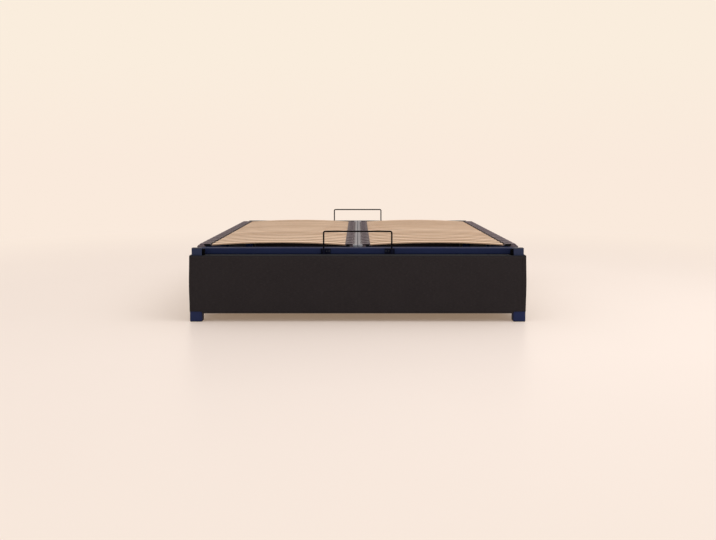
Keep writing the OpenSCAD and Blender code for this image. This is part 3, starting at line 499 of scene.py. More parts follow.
def pressed_board():
    """Floor board of the storage box: pressed fibre with pale and dark specks."""
    nodes = Finish("pressed board", Specular_IOR_Level=0.3)
    fibres = nodes.noise(nodes.position, 260.0, 5.0, 0.7)
    body = nodes.blend(nodes.drift(4.0), (0.29, 0.235, 0.175), (0.36, 0.3, 0.225))
    specked = nodes.blend(nodes.remap(fibres, 0.52, 0.72), body, (0.17, 0.125, 0.085))
    return nodes.done({
        "Base Color": nodes.blend(nodes.dust(0.15), specked, DUST_TONE),
        "Roughness": nodes.remap(fibres, 0.3, 0.7, 0.6, 0.8),
        "Normal": nodes.bump(0.2, 0.0003, fibres, Normal=nodes.edges()["Normal"]),
    })


# Name, colour, colour of rubbed edges, roughness, grains per metre, strength of the skin and specular level of
# each coat, then where they differ its dust, drift of tone and clear coat. The first seven are the CAD's slots.
COATS = {
    "blue_steel": ("blue powder coat", (0.0145, 0.0215, 0.066), (0.03, 0.04, 0.095), 0.5, 520, 0.1, 0.1),
    "blue_plastic": ("blue moulded plastic", (0.0155, 0.022, 0.069), (0.035, 0.045, 0.1), 0.52, 900, 0.18, 0.12),
    "cap_plastic": ("cap plastic", (0.147, 0.109, 0.12), (0.3, 0.25, 0.27), 0.5, 1100, 0.15, 0.2),
    "strip_plastic": ("strip plastic", (0.215, 0.204, 0.226), (0.42, 0.41, 0.43), 0.45, 1000, 0.12, 0.2, 0.03, 0.06),
    "stop_wire": ("coated wire", (0.0055, 0.004, 0.005), (0.02, 0.016, 0.016), 0.6, 700, 0.1, 0.05, 0.0),
    "strut_black": ("strut black", (0.012, 0.012, 0.013), (0.05, 0.05, 0.05), 0.3, 500, 0.08, 0.5, 0.06, 0.12, 0.4),
    "rubber": ("rubber", (0.007, 0.006, 0.006), (0.02, 0.02, 0.02), 0.85, 600, 0.25, 0.15, 0.05),
    "centre_cap": ("centre cap plastic", (0.118, 0.088, 0.099), (0.25, 0.21, 0.23), 0.5, 1100, 0.15, 0.2),
    # A lighter, greyer copy of the blue powder coat on the foot posts: painted highlight.
    "post": ("post powder coat", (0.0255, 0.032, 0.067), (0.045, 0.055, 0.1), 0.5, 520, 0.1, 0.1),
    # Greyer colour and heavier dust on the post caps: painted sheen on their top faces.
    "post_cap": ("post cap plastic", (0.032, 0.034, 0.06), (0.045, 0.05, 0.09), 0.5, 900, 0.18, 0.2, 0.1),
    # Near-black on the stop brackets: painted shade, standing in for the dark shadow lines round them.
    "bracket": ("dark bracket paint", (0.0035, 0.005, 0.018), (0.01, 0.012, 0.028), 0.55, 520, 0.1, 0.08, 0.0),
    # Near-black for the blocks beside the foot posts: painted shade.
    "buffer": ("buffer rubber", (0.0016, 0.0015, 0.002), (0.006, 0.006, 0.006), 0.9, 600, 0.2, 0.03, 0.0),
    "screw": ("blackened screw", (0.008, 0.01, 0.022), (0.03, 0.03, 0.045), 0.4, 800, 0.06, 0.3, 0.0),
    "clip": ("clip plastic", (0.31, 0.31, 0.33), (0.42, 0.42, 0.44), 0.42, 1000, 0.12, 0.2, 0.06, 0.06),
}
FINISH = {key: coated(*row) for key, row in COATS.items()}
FINISH.update(
    zinc_steel=zinc_plate(), beech=beech_wood(), fabric=wall_cloth(), board=pressed_board(), thread=hem_thread()
)
OWN_FINISH = {
    "stop_brackets_foot": "bracket", "stop_brackets_head": "bracket", "post_caps": "post_cap",
    "post_foot_left": "post", "post_foot_right": "post",
}

for name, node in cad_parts.items():
    for holder in node.material_slots:
        holder.material = FINISH[OWN_FINISH.get(name, holder.material.name.split(".")[0])]


# ---- Rows along the bed ----

ROW_INPUTS = {"First": 0.0, "Pitch": 0.1, "Count": 1, "Seed": 1, "Finish": "Material"}


def make_row_along_bed():
    """One shape repeated along the bed, each copy with its own tone, in one finish."""
    nodes = Group("row along bed", {"Shape": "Geometry", **ROW_INPUTS}, {"Row": "Geometry"}, "GeometryNodeTree")
    given = nodes.given
    begin, step = nodes.joined(y=given["First"]), nodes.joined(y=given["Pitch"])
    line_in = {"Count": given["Count"], "Start Location": begin, "Offset": step}
    line = nodes.out("GeometryNodeMeshLine", line_in)
    copies = nodes.out("GeometryNodeInstanceOnPoints", {"Points": line, "Instance": given["Shape"]})
    chance = nodes.put("FunctionNodeRandomValue", {"Seed": given["Seed"]}, data_type="FLOAT").outputs[1]
    toned_in = {"Geometry": copies, "Name": "slat_tone", "Value": chance}
    toned = nodes.out("GeometryNodeStoreNamedAttribute", toned_in, data_type="FLOAT", domain="INSTANCE")
    return nodes.done({"Row": nodes.solid(toned, given["Finish"])})


def make_sprung_slats():
    """A column of crowned slats: an arc swept with a rounded section, then set along the bed."""
    inputs = {
        "Inner End": 0.0, "Outer End": 1.0, "Crest Place": 0.5, "Crest Height": 0.4, "Arc Radius": 5.0,
        "Width": 0.05, "Thickness": 0.008, "Edge Radius": 0.002, **ROW_INPUTS,
    }
    nodes = Group("sprung slats", inputs, {"Slats": "Geometry"}, "GeometryNodeTree")
    given = nodes.given
    ends = {"Start": nodes.joined(given["Inner End"]), "End": nodes.joined(given["Outer End"])}
    line = nodes.out("GeometryNodeCurvePrimitiveLine", ends)
    fine = nodes.out("GeometryNodeResampleCurve", {"Curve": line, "Count": 33})
    place_x = nodes.parts(nodes.out("GeometryNodeInputPosition"))[0]
    run = nodes.maths("SUBTRACT", place_x, given["Crest Place"])
    arc_z = nodes.maths("SUBTRACT", given["Crest Height"], given["Arc Radius"])
    core_r = nodes.maths("SUBTRACT", given["Arc Radius"], nodes.times(given["Thickness"], 0.5))
    square = nodes.maths("SUBTRACT", nodes.times(core_r, core_r), nodes.times(run, run))
    lift = nodes.joined(z=nodes.maths("ADD", arc_z, nodes.maths("SQRT", square)))
    arc = nodes.out("GeometryNodeSetPosition", {"Geometry": fine, "Offset": lift})
    upright = nodes.out("GeometryNodeSetCurveNormal", {"Curve": arc}, mode="Z_UP")
    section_in = {"Width": given["Width"], "Height": given["Thickness"]}
    section = nodes.out("GeometryNodeCurvePrimitiveQuadrilateral", section_in)
    eased_in = {"Curve": section, "Radius": given["Edge Radius"], "Count": 3}
    eased = nodes.out("GeometryNodeFilletCurve", eased_in, mode="POLY")
    swept_in = {"Curve": upright, "Profile Curve": eased, "Fill Caps": True}
    swept = nodes.out("GeometryNodeCurveToMesh", swept_in)
    row_in = {"Shape": swept, **{key: given[key] for key in ROW_INPUTS}}
    return nodes.done({"Slats": nodes.group(ROW_ALONG_BED, row_in)[0]})


ROW_ALONG_BED = make_row_along_bed()
SPRUNG_SLATS = make_sprung_slats()
SLAT_ROW = {"First": SLAT_FIRST_Y, "Pitch": SLAT_PITCH, "Count": SLAT_COUNT}


def row_of(mesh, name, finish, seed):
    """A shape repeated at each slat."""
    return grown(ROW_ALONG_BED, {**SLAT_ROW, "Seed": seed, "Finish": finish}, name, mesh)


for seed, (side_name, side) in enumerate(SIDES, start=3):
    sizes = {
        "Inner End": side * slat_low.x, "Outer End": side * slat_high.x,
        "Crest Place": side * SLAT_MID_X, "Crest Height": SLAT_CREST_Z, "Arc Radius": SLAT_ARC_R,
        "Width": SLAT_W, "Thickness": SLAT_T, "Edge Radius": SLAT_EDGE_R,
        **SLAT_ROW, "Seed": seed, "Finish": FINISH["beech"],
    }
    slats = grown(SPRUNG_SLATS, sizes, f"sprung_slats_{side_name}")
    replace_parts(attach(slats, "slat_frame"), f"slats_{side_name}")


# ---- Moulded caps ----


def cap_ring(x, z_low, z_high, half_w, high_r, low_r, slant=0.0, window_top=None):
    """A ring round a cap's sleeve at x: a rectangle with rounded corners, its top set back by slant.
    Below window_top its sides are set back."""
    low_half_w = half_w - WINDOW_DEPTH if window_top else half_w
    sill = window_top or (z_low + z_high) / 2
    sill_low = sill - 0.0002
    corners = (
        (low_half_w, z_low, low_r, -90),
        (half_w, z_high, high_r, 0),
        (-half_w, z_high, high_r, 90),
        (-low_half_w, z_low, low_r, 180),
    )
    ring = []
    for y, z, r, start in corners:
        centre_y = y - math.copysign(r, y)
        centre_z = z + r if z == z_low else z - r
        if start == 180:
            ring += [(-half_w, sill), (-low_half_w, sill_low)]
        for turn in range(start, start + 91, 30):
            a = math.radians(turn)
            ring.append((centre_y + r * math.cos(a), centre_z + r * math.sin(a)))
        if start == -90:
            ring += [(low_half_w, sill_low), (half_w, sill)]
    return [(x + slant * (z - z_low) / (z_high - z_low), y, z) for y, z in ring]


class CapShape:
    """One moulded cap. Its run s starts at the mouth and goes the way +1 or -1 along X.
    The upper lip stands back by lip_back, the underside meets the tube from step_at on, window is the run
    that the side windows take, and top_line has the (run, drop, inset) of the top's corners."""

    def __init__(self, mouth_x, way, lip_back, step_at, window, top_line, base_in, base_out, peg_x):
        self.mouth_x, self.way, self.lip_back = mouth_x, way, lip_back
        self.step_at, self.window, self.top_line = step_at, window, top_line
        self.base_in, self.base_out, self.peg_x = base_in, base_out, peg_x
        self.lip = slat_top_at(mouth_x) + SLAT_CLEAR + CAP_WALL
        self.side = math.copysign(1, mouth_x)
        self.has_wing = base_out > RAIL_OUT_X

    def x_at(self, s):
        return self.mouth_x + self.way * s

    def top_at(self, s):
        """Height of the cap's top."""
        run, drop = 0.0, 0.0
        for next_run, next_drop, _ in self.top_line:
            if s <= next_run:
                return self.lip - drop - (next_drop - drop) * (s - run) / (next_run - run)
            run, drop = next_run, next_drop
        return self.lip - drop

    def under_at(self, s):
        """Height of the sleeve's underside."""
        return slat_top_at(self.x_at(s)) - SLAT_T - SLAT_CLEAR - CAP_WALL

    def sleeve(self, s, low, high, half_w, high_r=0.0022, low_r=0.0015, lean=0.0, window=False):
        """The ring round the sleeve at s."""
        reach = (high - low) / 2 - 0.0004
        sill = high - WINDOW_LINTEL if window else None
        return cap_ring(self.x_at(s), low, high, half_w, min(high_r, reach), min(low_r, reach), lean, sill)


def wing_plate(bm, side, x_in, x_out, half_l, round_r, z_low, z_high):
    """A flat plate whose two outer corners are rounded in plan."""
    outline = [(x_in, -half_l)]
    for way, turns in ((-1, (-90, -68, -45, -22, 0)), (1, (0, 22, 45, 68, 90))):
        for turn in turns:
            a = math.radians(turn)
            x = x_out - round_r + round_r * math.cos(a)
            outline.append((x, way * (half_l - round_r) + round_r * math.sin(a)))
    outline.append((x_in, half_l))
    mid_x = (x_in + x_out) / 2
    levels = (
        (z_low, 0.0006), (z_low + 0.0006, 0.0), (z_high - 0.0024, 0.0), (z_high - 0.0007, 0.0012), (z_high, 0.003)
    )
    rings = []
    for z, inset in levels:
        ring = []
        for x, y in outline:
            ring.append((side * (x - math.copysign(inset, x - mid_x)), y - math.copysign(inset, y), z))
        rings.append(ring)
    loft(bm, rings)


def sleeve_rings(cap):
    """The sleeve from inside its mouth, out round the lip and back over its step to its closed end."""
    lean = cap.way * cap.lip_back
    low, lip = cap.under_at(0), cap.lip
    hole = (low + CAP_WALL, lip - CAP_WALL, CAP_HALF_W - CAP_WALL)
    eased = (low + CAP_WALL - 0.0006, lip - CAP_WALL + 0.0006, CAP_HALF_W - CAP_WALL + 0.0006)
    proud = (low, lip + 0.0003, CAP_HALF_W + 0.0004)
    rings = [
        cap.sleeve(0.02, *hole, 0.002, 0.002),
        cap.sleeve(0.0008, *hole, 0.002, 0.002, lean),
        cap.sleeve(0.0001, *eased, 0.0024, 0.0015, lean),
        cap.sleeve(0.0, low + 0.0006, lip - 0.0004, CAP_HALF_W - 0.0005, 0.0018, 0.0012, lean),
        cap.sleeve(0.0006, *proud, lean=lean),
        cap.sleeve(0.0034, *proud, lean=lean),
        cap.sleeve(0.004, low, lip - 0.0004, CAP_HALF_W - 0.0003, lean=lean),
    ]
    opens, closes = cap.window
    before_step = ((opens - 0.0003, False, lean), (opens, True, lean), (cap.step_at - 0.0008, True, 0.0))
    for s, window, lean_here in before_step:
        rings.append(cap.sleeve(s, cap.under_at(s), cap.top_at(s), CAP_HALF_W, lean=lean_here, window=window))
    rings.append(cap.sleeve(cap.step_at, TUBE_TOP_Z + 0.0006, cap.top_at(cap.step_at), CAP_HALF_W, window=True))
    for s, window in ((cap.step_at + 0.0006, True), (closes, True), (closes + 0.0003, False)):
        rings.append(cap.sleeve(s, TUBE_TOP_Z, cap.top_at(s), CAP_HALF_W, low_r=0.0005, window=window))
    for s, drop, inset in cap.top_line:
        rings.append(cap.sleeve(s, TUBE_TOP_Z, lip - drop, CAP_HALF_W - inset, low_r=0.0005))
    return rings


def moulded_cap(cap):
    """The cap's plastic: sleeve with windows in its sides, base wings, ribs and pegs."""
    bm = bmesh.new()
    loft(bm, sleeve_rings(cap))
    low_x, high_x = sorted((cap.side * cap.base_in, cap.side * cap.base_out))
    base_z = (TUBE_TOP_Z, TUBE_TOP_Z + CAP_BASE_T)
    if cap.has_wing:
        wing_plate(bm, cap.side, cap.base_in, cap.base_out, CAP_BASE_HALF_L, CAP_WING_ROUND, *base_z)
    else:
        soft_block(bm, (low_x, high_x), (-CAP_BASE_HALF_L, CAP_BASE_HALF_L), base_z, 0.0012)
    for way in (-1, 1):
        for share in (0.12, 0.72):
            x = low_x + (high_x - low_x) * share
            y = (way * (CAP_HALF_W - 0.001), way * (CAP_HALF_W + 0.006))
            soft_block(bm, (x - 0.0008, x + 0.0008), y, (TUBE_TOP_Z + 0.001, TUBE_TOP_Z + 0.0085), 0.0005)
    rib_end = cap.top_line[0][0] - 0.002
    for y in (-0.012, 0.0, 0.012):
        rib = []
        for s, up in ((0.015, -0.0003), (0.017, 0.0005), (rib_end - 0.003, 0.0005), (rib_end, -0.0003)):
            x, z = cap.x_at(s), cap.top_at(s)
            foot = [(x, y - 0.0012, z - 0.001), (x, y + 0.0012, z - 0.001)]
            rib.append(foot + [(x, y + 0.0007, z + up), (x, y - 0.0007, z + up)])
        loft(bm, rib)
    for y in (-PEG_HALF_GAP, PEG_HALF_GAP):
        peg = bmesh.ops.create_cone(bm, cap_ends=True, segments=14, radius1=0.0034, radius2=0.004, depth=0.0105)
        for v in peg["verts"]:
            v.co += Vector((cap.peg_x, y, TUBE_TOP_Z - 0.00475))
    return close_mesh(bm, "moulded cap")


def cap_shade_pieces(cap):
    """The cap's black pieces, each painted shade: the collar behind its lower lip for the shade in its mouth, black
    blocks in its side windows for the shade in these recesses, and the bumper, a lip under its wing whose black
    paints the shade below the wing.
    """
    bm = bmesh.new()
    if cap.has_wing:
        # Painted shade in the mouth: a black collar round the slat just inside the lower lip.
        half_w, collar = SLAT_W / 2 + COLLAR_T, []
        for s in (0.005, 0.018):
            x = cap.x_at(s)
            high, low = slat_top_at(x) + COLLAR_T, slat_top_at(x) - SLAT_T - COLLAR_T
            half = [(half_w, low), (half_w, high - 0.001), (half_w - 0.001, high)]
            collar.append([(x, y, z) for y, z in half + [(-y, z) for y, z in reversed(half)]])
        loft(bm, collar)
        # The bumper, a lip under the wing, black as painted shade below the wing.
        bumper_z = (TUBE_TOP_Z - BUMPER_DROP, TUBE_TOP_Z + 0.0008)
        bumper_in, bumper_half_l = RAIL_OUT_X + BUMPER_GAP, CAP_BASE_HALF_L - BUMPER_INSET
        wing_plate(bm, cap.side, bumper_in, cap.base_out, bumper_half_l, BUMPER_ROUND, *bumper_z)
    # Painted shade in the side windows: black blocks in their recesses.
    high = min(cap.top_at(s) for s in cap.window) - WINDOW_LINTEL - 0.0002
    for way in (-1, 1):
        y = [way * (CAP_HALF_W - WINDOW_DEPTH + off) for off in (-0.001, 0.0004)]
        soft_block(bm, [cap.x_at(s) for s in cap.window], y, (TUBE_TOP_Z + 0.002, high), 0.0003)
    return close_mesh(bm, "cap lining")


SIDE_TOP_LINE = [
    (0.063, 0.0008, 0.0), (0.0648, 0.0012, 0.0), (0.0662, 0.0026, 0.0004), (0.075, 0.0102, 0.001),
    (0.076, 0.0114, 0.0016),
]
CENTRE_TOP_LINE = [(0.0395, 0.0027, 0.0), (0.0402, 0.0031, 0.0004), (0.041, 0.0042, 0.0014)]
for side_name, side in SIDES:
    side_cap = CapShape(
        side * SIDE_MOUTH_X, side, lip_back=0.013, step_at=0.033, window=(0.0065, 0.045), top_line=SIDE_TOP_LINE,
        base_in=RAIL_OUT_X - 0.027, base_out=SIDE_END_X, peg_x=side * 0.77,
    )
    centre_cap = CapShape(
        side * CENTRE_MOUTH_X, -side, lip_back=0.002, step_at=0.024, window=(0.006, 0.0365),
        top_line=CENTRE_TOP_LINE, base_in=CENTRE_END_X, base_out=CENTRE_END_X + 0.017, peg_x=side * 0.032,
    )
    rows = (("side_caps", side_cap, "cap_plastic"), ("centre_caps", centre_cap, "centre_cap"))
    for row_name, cap, plastic in rows:
        where = f"{row_name}_{side_name}"
        moulded = row_of(moulded_cap(cap), f"moulded_{where}", FINISH[plastic], seed=11)
        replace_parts(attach(moulded, "slat_frame"), where)
        # The cap's black pieces of painted shade: collar, window blocks and bumper.
        shade_pieces = row_of(cap_shade_pieces(cap), f"lining_{where}", FINISH["rubber"], seed=11)
        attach(shade_pieces, "slat_frame")


# ---- Centre strips, head tube edging and painted shade beside the posts ----

strip_low, strip_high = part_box("centre_strips")
STRIP_INNER_X = 0.0015
STRIP_W = 0.022
TAB_INNER_X = 0.0125
TAB_HALF_L = 0.024
TAB_T = 0.004
SHADE_BLOCK_T = 0.011
HEAD_EDGING_HALF_L = 0.785
HEAD_EDGING_T = 0.005
# Outline of the right strip's section, from its inner foot over its ridge and grooves to its outer foot.
STRIP_SECTION = [
    (0.0, 0.0), (0.0, 0.0088), (0.0004, 0.0096), (0.0012, 0.01), (0.0062, 0.01), (0.0067, 0.0094),
    (0.0075, 0.0094), (0.008, 0.0098), (0.0125, 0.0092), (0.013, 0.0085), (0.0138, 0.0084), (0.0143, 0.0088),
    (0.0185, 0.0076), (0.0208, 0.0064), (0.0218, 0.0052), (STRIP_W, 0.0036), (STRIP_W, 0.0),
]


def centre_strips_mesh():
    """The two ribbed strips along the centre tube, with eased ends."""
    bm = bmesh.new()
    ease = 0.0012
    stops = ((strip_low.y, ease), (strip_low.y + ease, 0.0), (strip_high.y - ease, 0.0), (strip_high.y, ease))
    for side in (-1, 1):
        rings = []
        for y, shrink in stops:
            ring = []
            for across, up in STRIP_SECTION:
                x = STRIP_INNER_X + min(max(across, shrink), STRIP_W - shrink)
                ring.append((side * x, y, strip_low.z + max(up - shrink * (up > 0), 0.0)))
            rings.append(ring)
        loft(bm, rings)
    return close_mesh(bm, "centre strips")


def blocks(name, boxes, edge, finish):
    """An object of blocks with rounded edges, each given by its ends along x, y and z."""
    bm = bmesh.new()
    for x, y, z in boxes:
        soft_block(bm, x, y, z, edge)
    piece = as_object(name, close_mesh(bm, name))
    piece.data.materials.append(FINISH[finish])
    return piece


strips = as_object("ribbed_centre_strips", centre_strips_mesh(), smooth_angle=30)
strips.data.materials.append(FINISH["strip_plastic"])
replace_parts(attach(strips, "slat_frame"), "centre_strips")

for side_name, side in SIDES:
    bm = bmesh.new()
    tab_x = (side * TAB_INNER_X, side * (CENTRE_END_X + 0.001))
    soft_block(bm, tab_x, (-TAB_HALF_L, TAB_HALF_L), (strip_high.z - TAB_T, strip_high.z), 0.0008)
    tabs = row_of(close_mesh(bm, "centre tab"), f"centre_tabs_{side_name}", FINISH["centre_cap"], seed=5)
    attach(tabs, "slat_frame")

clip_boxes = [
    (
        (side * STRIP_INNER_X, side * strip_high.x), (y + way * 0.003, y - way * 0.009),
        (strip_low.z, strip_high.z + 0.0006),
    )
    for side in (-1, 1)
    for y, way in ((strip_low.y, -1), (strip_high.y, 1))
]
clips = blocks("strip_end_clips", clip_boxes, 0.0012, "clip")
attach(clips, "slat_frame")

# The dark rubber edging along the top of the head tube
head_end_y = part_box("frame_head_tube")[1].y
edging_box = (
    (-HEAD_EDGING_HALF_L, HEAD_EDGING_HALF_L), (head_end_y - 0.02, head_end_y - 0.002),
    (TUBE_TOP_Z, TUBE_TOP_Z + HEAD_EDGING_T),
)
edging = blocks("head_tube_edging", [edging_box], 0.0015, "rubber")
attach(edging, "slat_frame")

# Black blocks on the inner sides of the foot posts: painted shade, the dark gap beside the foot tube
post_low, post_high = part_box("post_foot_right")
shade_block_boxes = [
    (
        (side * (post_low.x - SHADE_BLOCK_T), side * (post_low.x + 0.001)), (post_low.y + 0.004, post_high.y - 0.003),
        (WALL_TOP_Z - 0.01, TUBE_TOP_Z - 0.001),
    )
    for side in (-1, 1)
]
shade_blocks = blocks("post_buffers", shade_block_boxes, 0.0015, "buffer")
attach(shade_blocks, "base")


# ---- Fabric walls ----

END_STEP, END_COUNT, MIDDLE_STEP = 0.004, 8, 0.0125
OUTER_ROWS = 22
HELD_MARGIN = 0.02
SETTLE_FRAMES = 20
SETTLE_MOST = 0.003
CORNER_BELLY = 0.0025


def stations(low, high):
    """Places along a wall: close together near its ends, wider apart between them."""
    run_low, run_high = low + END_COUNT * END_STEP, high - END_COUNT * END_STEP
    count = round((high - low - (2 * END_COUNT - 1) * END_STEP) / MIDDLE_STEP)
    places = [low + END_STEP * i for i in range(END_COUNT)]
    places += [run_low + (run_high - run_low) * i / count for i in range(count + 1)]
    return places + [high - END_STEP * i for i in reversed(range(END_COUNT))]


def wall_section(outer, hem_end, bottom):
    """Ring of (depth, height, held) round a wall: inner face, bottom, outer face, top and hem."""
    inner = outer - WALL_T
    ring = [(inner, z, 1.0) for z in (WALL_TOP_Z - WALL_HEM_T, 0.24, 0.15, bottom + 0.004)]
    ring += [(inner + 0.002, bottom, 1.0), (outer - 0.002, bottom, 1.0)]
    low, high = bottom + 0.002, WALL_TOP_Z - WALL_ROUND
    for i in range(OUTER_ROWS + 1):
        z = low + (high - low) * i / OUTER_ROWS
        ring.append((outer, z, max(0.0, 1.0 - min(z - low, high - z) / HELD_MARGIN)))
    for turn in (30, 60, 90):
        a = math.radians(turn)
        ring.append((outer - WALL_ROUND * (1 - math.cos(a)), high + WALL_ROUND * math.sin(a), 1.0))
    ring += [(hem_end + 0.0012, WALL_TOP_Z, 1.0), (hem_end, WALL_TOP_Z - WALL_HEM_T / 2, 1.0)]
    ring += [(hem_end + 0.0012, WALL_TOP_Z - WALL_HEM_T, 1.0)]
    return ring


class FabricWall:
    """One wall: u goes along it, its depth goes outwards from the middle of the bed to outer.
    It is higher over the feet, from foot_from on; folds are upright ones, each (place, depth, half width)."""

    def __init__(self, name, along, outwards, half_length, outer, foot_from, hem_end_at, folds=()):
        self.name, self.along, self.outwards = name, Vector(along), Vector(outwards)
        self.half_length, self.outer, self.foot_from = half_length, outer, foot_from
        self.hem_end_at, self.folds = hem_end_at, folds

    def at(self, u, depth, z):
        return tuple(self.along * u + self.outwards * depth + Vector((0, 0, z)))

    def mesh(self):
        """The thin padded wall as a closed mesh with cloth coordinates, and how far each point is held."""
        bm = bmesh.new()
        cloth = bm.loops.layers.uv.new("cloth")
        held, rings, laid = [], [], []
        for u in stations(-self.half_length, self.half_length):
            rise = WALL_STEP * min(max((abs(u) - self.foot_from) / 0.004, 0.0), 1.0)
            section = wall_section(self.outer, self.hem_end_at(u), WALL_BOTTOM_Z + rise)
            end_hold = max(0.0, 1.0 - (self.half_length - abs(u)) / HELD_MARGIN)
            run, lengths = 0.0, []
            for i, (depth, z, hold) in enumerate(section):
                if i:
                    run += math.dist((depth, z), section[i - 1][:2])
                lengths.append((u, run))
                held.append(max(hold, end_hold))
            rings.append([bm.verts.new(self.at(u, depth, z)) for depth, z, _ in section])
            laid.append(lengths)
        count = len(rings[0])
        for row in range(len(rings) - 1):
            for i in range(count):
                after = (i + 1) % count
                corners = ((row, i), (row, after), (row + 1, after), (row + 1, i))
                face = bm.faces.new([rings[r][j] for r, j in corners])
                for loop, (r, j) in zip(face.loops, corners):
                    u, v = laid[r][j]
                    if j == 0 and i == count - 1:
                        v = laid[r][i][1] + 0.004
                    loop[cloth].uv = (u, v)
        for ring in (rings[0], rings[-1]):
            face = bm.faces.new(ring)
            for loop, vert in zip(face.loops, ring):
                loop[cloth].uv = (vert.co.y + vert.co.x, vert.co.z)
        return close_mesh(bm, self.name), held

    def add_folds(self, mesh, held):
        """Faint unevenness of stretched cloth, the wall's upright folds and fuller corners."""
        for vert, hold in zip(mesh.vertices, held):
            z = vert.co.z
            u = vert.co.dot(self.along)
            wave = noise.noise(Vector((u * 5.0, z * 7.0, 3.7))) * 0.0009
            wave += noise.noise(Vector((u * 16.0, z * 5.0, 9.1))) * 0.0004
            for place, depth, half_width in self.folds:
                wave -= depth * math.exp(-(((u - place) / half_width) ** 2))
            vert.co += self.outwards * (wave * max(1.0 - hold, 0.0))
            up = min(max((z - WALL_BOTTOM_Z) / (WALL_TOP_Z - WALL_BOTTOM_Z), 0.0), 1.0)
            near_x = max(0.0, abs(vert.co.x) - (WALL_X - 0.02)) / 0.02
            near_y = max(0.0, abs(vert.co.y) - (WALL_Y - 0.03)) / 0.03
            belly = CORNER_BELLY * math.sin(math.pi * up) ** 2 * min(near_x * near_y * 2.0, 1.0)
            vert.co.x += math.copysign(belly, vert.co.x)
        mesh.update()


def settle_padding(wall, held):
    """Lets the wall's cloth fill and sag by simulation, no point moving further than SETTLE_MOST."""
    before = [v.co.copy() for v in wall.data.vertices]
    group = wall.vertex_groups.new(name="held")
    for index, weight in enumerate(held):
        group.add([index], weight, "REPLACE")
    cloth = wall.modifiers.new("settle", "CLOTH")
    settings = cloth.settings
    settings.quality = 6
    settings.mass = 0.2
    settings.tension_stiffness = settings.compression_stiffness = 25
    settings.shear_stiffness = 10
    settings.bending_stiffness = 4
    settings.vertex_group_mass = "held"
    settings.use_pressure = True
    settings.uniform_pressure_force = 2.0
    settings.effector_weights.gravity = 0.25
    for step in range(1, SETTLE_FRAMES + 1):
        scene.frame_set(step)
    evaluated = wall.evaluated_get(bpy.context.evaluated_depsgraph_get())
    after = [v.co.copy() for v in evaluated.data.vertices]
    wall.modifiers.remove(cloth)
    scene.frame_set(1)
    for vert, old, new in zip(wall.data.vertices, before, after):
        move = new - old
        if move.length > 1e-9:
            move *= SETTLE_MOST * math.tanh(move.length / SETTLE_MOST) / move.length
        vert.co = old + move


def side_hem_end(u):
    """Inner end of a side wall's hem: over its rail, and cut back beside the foot post and the hinge ear."""
    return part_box("fabric_wall_right")[0].x if -1.014 < u < 0.974 else WALL_X - WALL_T - 0.0014


FOOT_HEM_END, HEAD_HEM_END = -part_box("fabric_wall_foot")[1].y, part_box("fabric_wall_head")[0].y
FOOT_FOLDS = [(0.8065, 0.003, 0.003), (0.799, -0.0008, 0.004), (-0.8105, 0.0012, 0.003)]
HEAD_FOLDS = [(-0.807, 0.0018, 0.003)]
ALONG_X, ALONG_Y = (1, 0, 0), (0, 1, 0)
END_WALL, SIDE_WALL = (WALL_X, WALL_Y, FOOT_FROM_X), (SIDE_WALL_HALF_L, WALL_X, FOOT_FROM_Y)
WALLS = [
    FabricWall("foot", ALONG_X, (0, -1, 0), *END_WALL, lambda u: FOOT_HEM_END, FOOT_FOLDS),
    FabricWall("head", ALONG_X, (0, 1, 0), *END_WALL, lambda u: HEAD_HEM_END, HEAD_FOLDS),
    FabricWall("left", ALONG_Y, (-1, 0, 0), *SIDE_WALL, side_hem_end),
    FabricWall("right", ALONG_Y, (1, 0, 0), *SIDE_WALL, side_hem_end),
]

for wall in WALLS:
    mesh, held = wall.mesh()
    padded_wall = as_object(f"padded_wall_{wall.name}", mesh, smooth_angle=55)
    mesh.materials.append(FINISH["fabric"])
    settle_padding(padded_wall, held)
    wall.add_folds(mesh, held)
    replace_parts(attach(padded_wall, "base"), f"fabric_wall_{wall.name}")


# ---- Stitches ----


def make_stitch_row():
    """Short stitches along a straight seam, each a small bead laid end to end with gaps."""
    inputs = {
        "Seam Start": "Vector", "Seam End": "Vector",
        "Stitch Pitch": 0.007, "Stitch Length": 0.005, "Thread Thickness": 0.0008, "Finish": "Material",
    }
    nodes = Group("stitch row", inputs, {"Stitches": "Geometry"}, "GeometryNodeTree")
    given = nodes.given
    seam = nodes.out("GeometryNodeCurvePrimitiveLine", {"Start": given["Seam Start"], "End": given["Seam End"]})
    points_in = {"Curve": seam, "Length": given["Stitch Pitch"]}
    points = nodes.put("GeometryNodeCurveToPoints", points_in, mode="LENGTH").outputs
    bead = nodes.out("GeometryNodeMeshUVSphere", {"Segments": 6, "Rings": 4, "Radius": 0.5})
    thread = given["Thread Thickness"]
    laid_in = {
        "Points": points["Points"],
        "Instance": bead,
        "Rotation": points["Rotation"],
        "Scale": nodes.joined(thread, thread, given["Stitch Length"]),
    }
    laid = nodes.out("GeometryNodeInstanceOnPoints", laid_in)
    return nodes.done({"Stitches": nodes.solid(laid, given["Finish"])})


STITCH_ROW = make_stitch_row()
STITCHES = {
    "Stitch Pitch": 0.0075, "Stitch Length": 0.0055, "Thread Thickness": 0.0009, "Finish": FINISH["thread"]
}
SEAM_END_GAP = 0.012

for wall in WALLS:
    seams = (("low", WALL_BOTTOM_Z + 0.0045, wall.foot_from), ("high", WALL_TOP_Z - 0.0065, wall.half_length))
    for level, z, half_length in seams:
        ends = [wall.at(side * (half_length - SEAM_END_GAP), wall.outer + 0.0001, z) for side in (-1, 1)]
        seam = {"Seam Start": ends[0], "Seam End": ends[1], **STITCHES}
        row = grown(STITCH_ROW, seam, f"hem_stitches_{wall.name}_{level}")
        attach(row, "base")


# ---- Screws ----

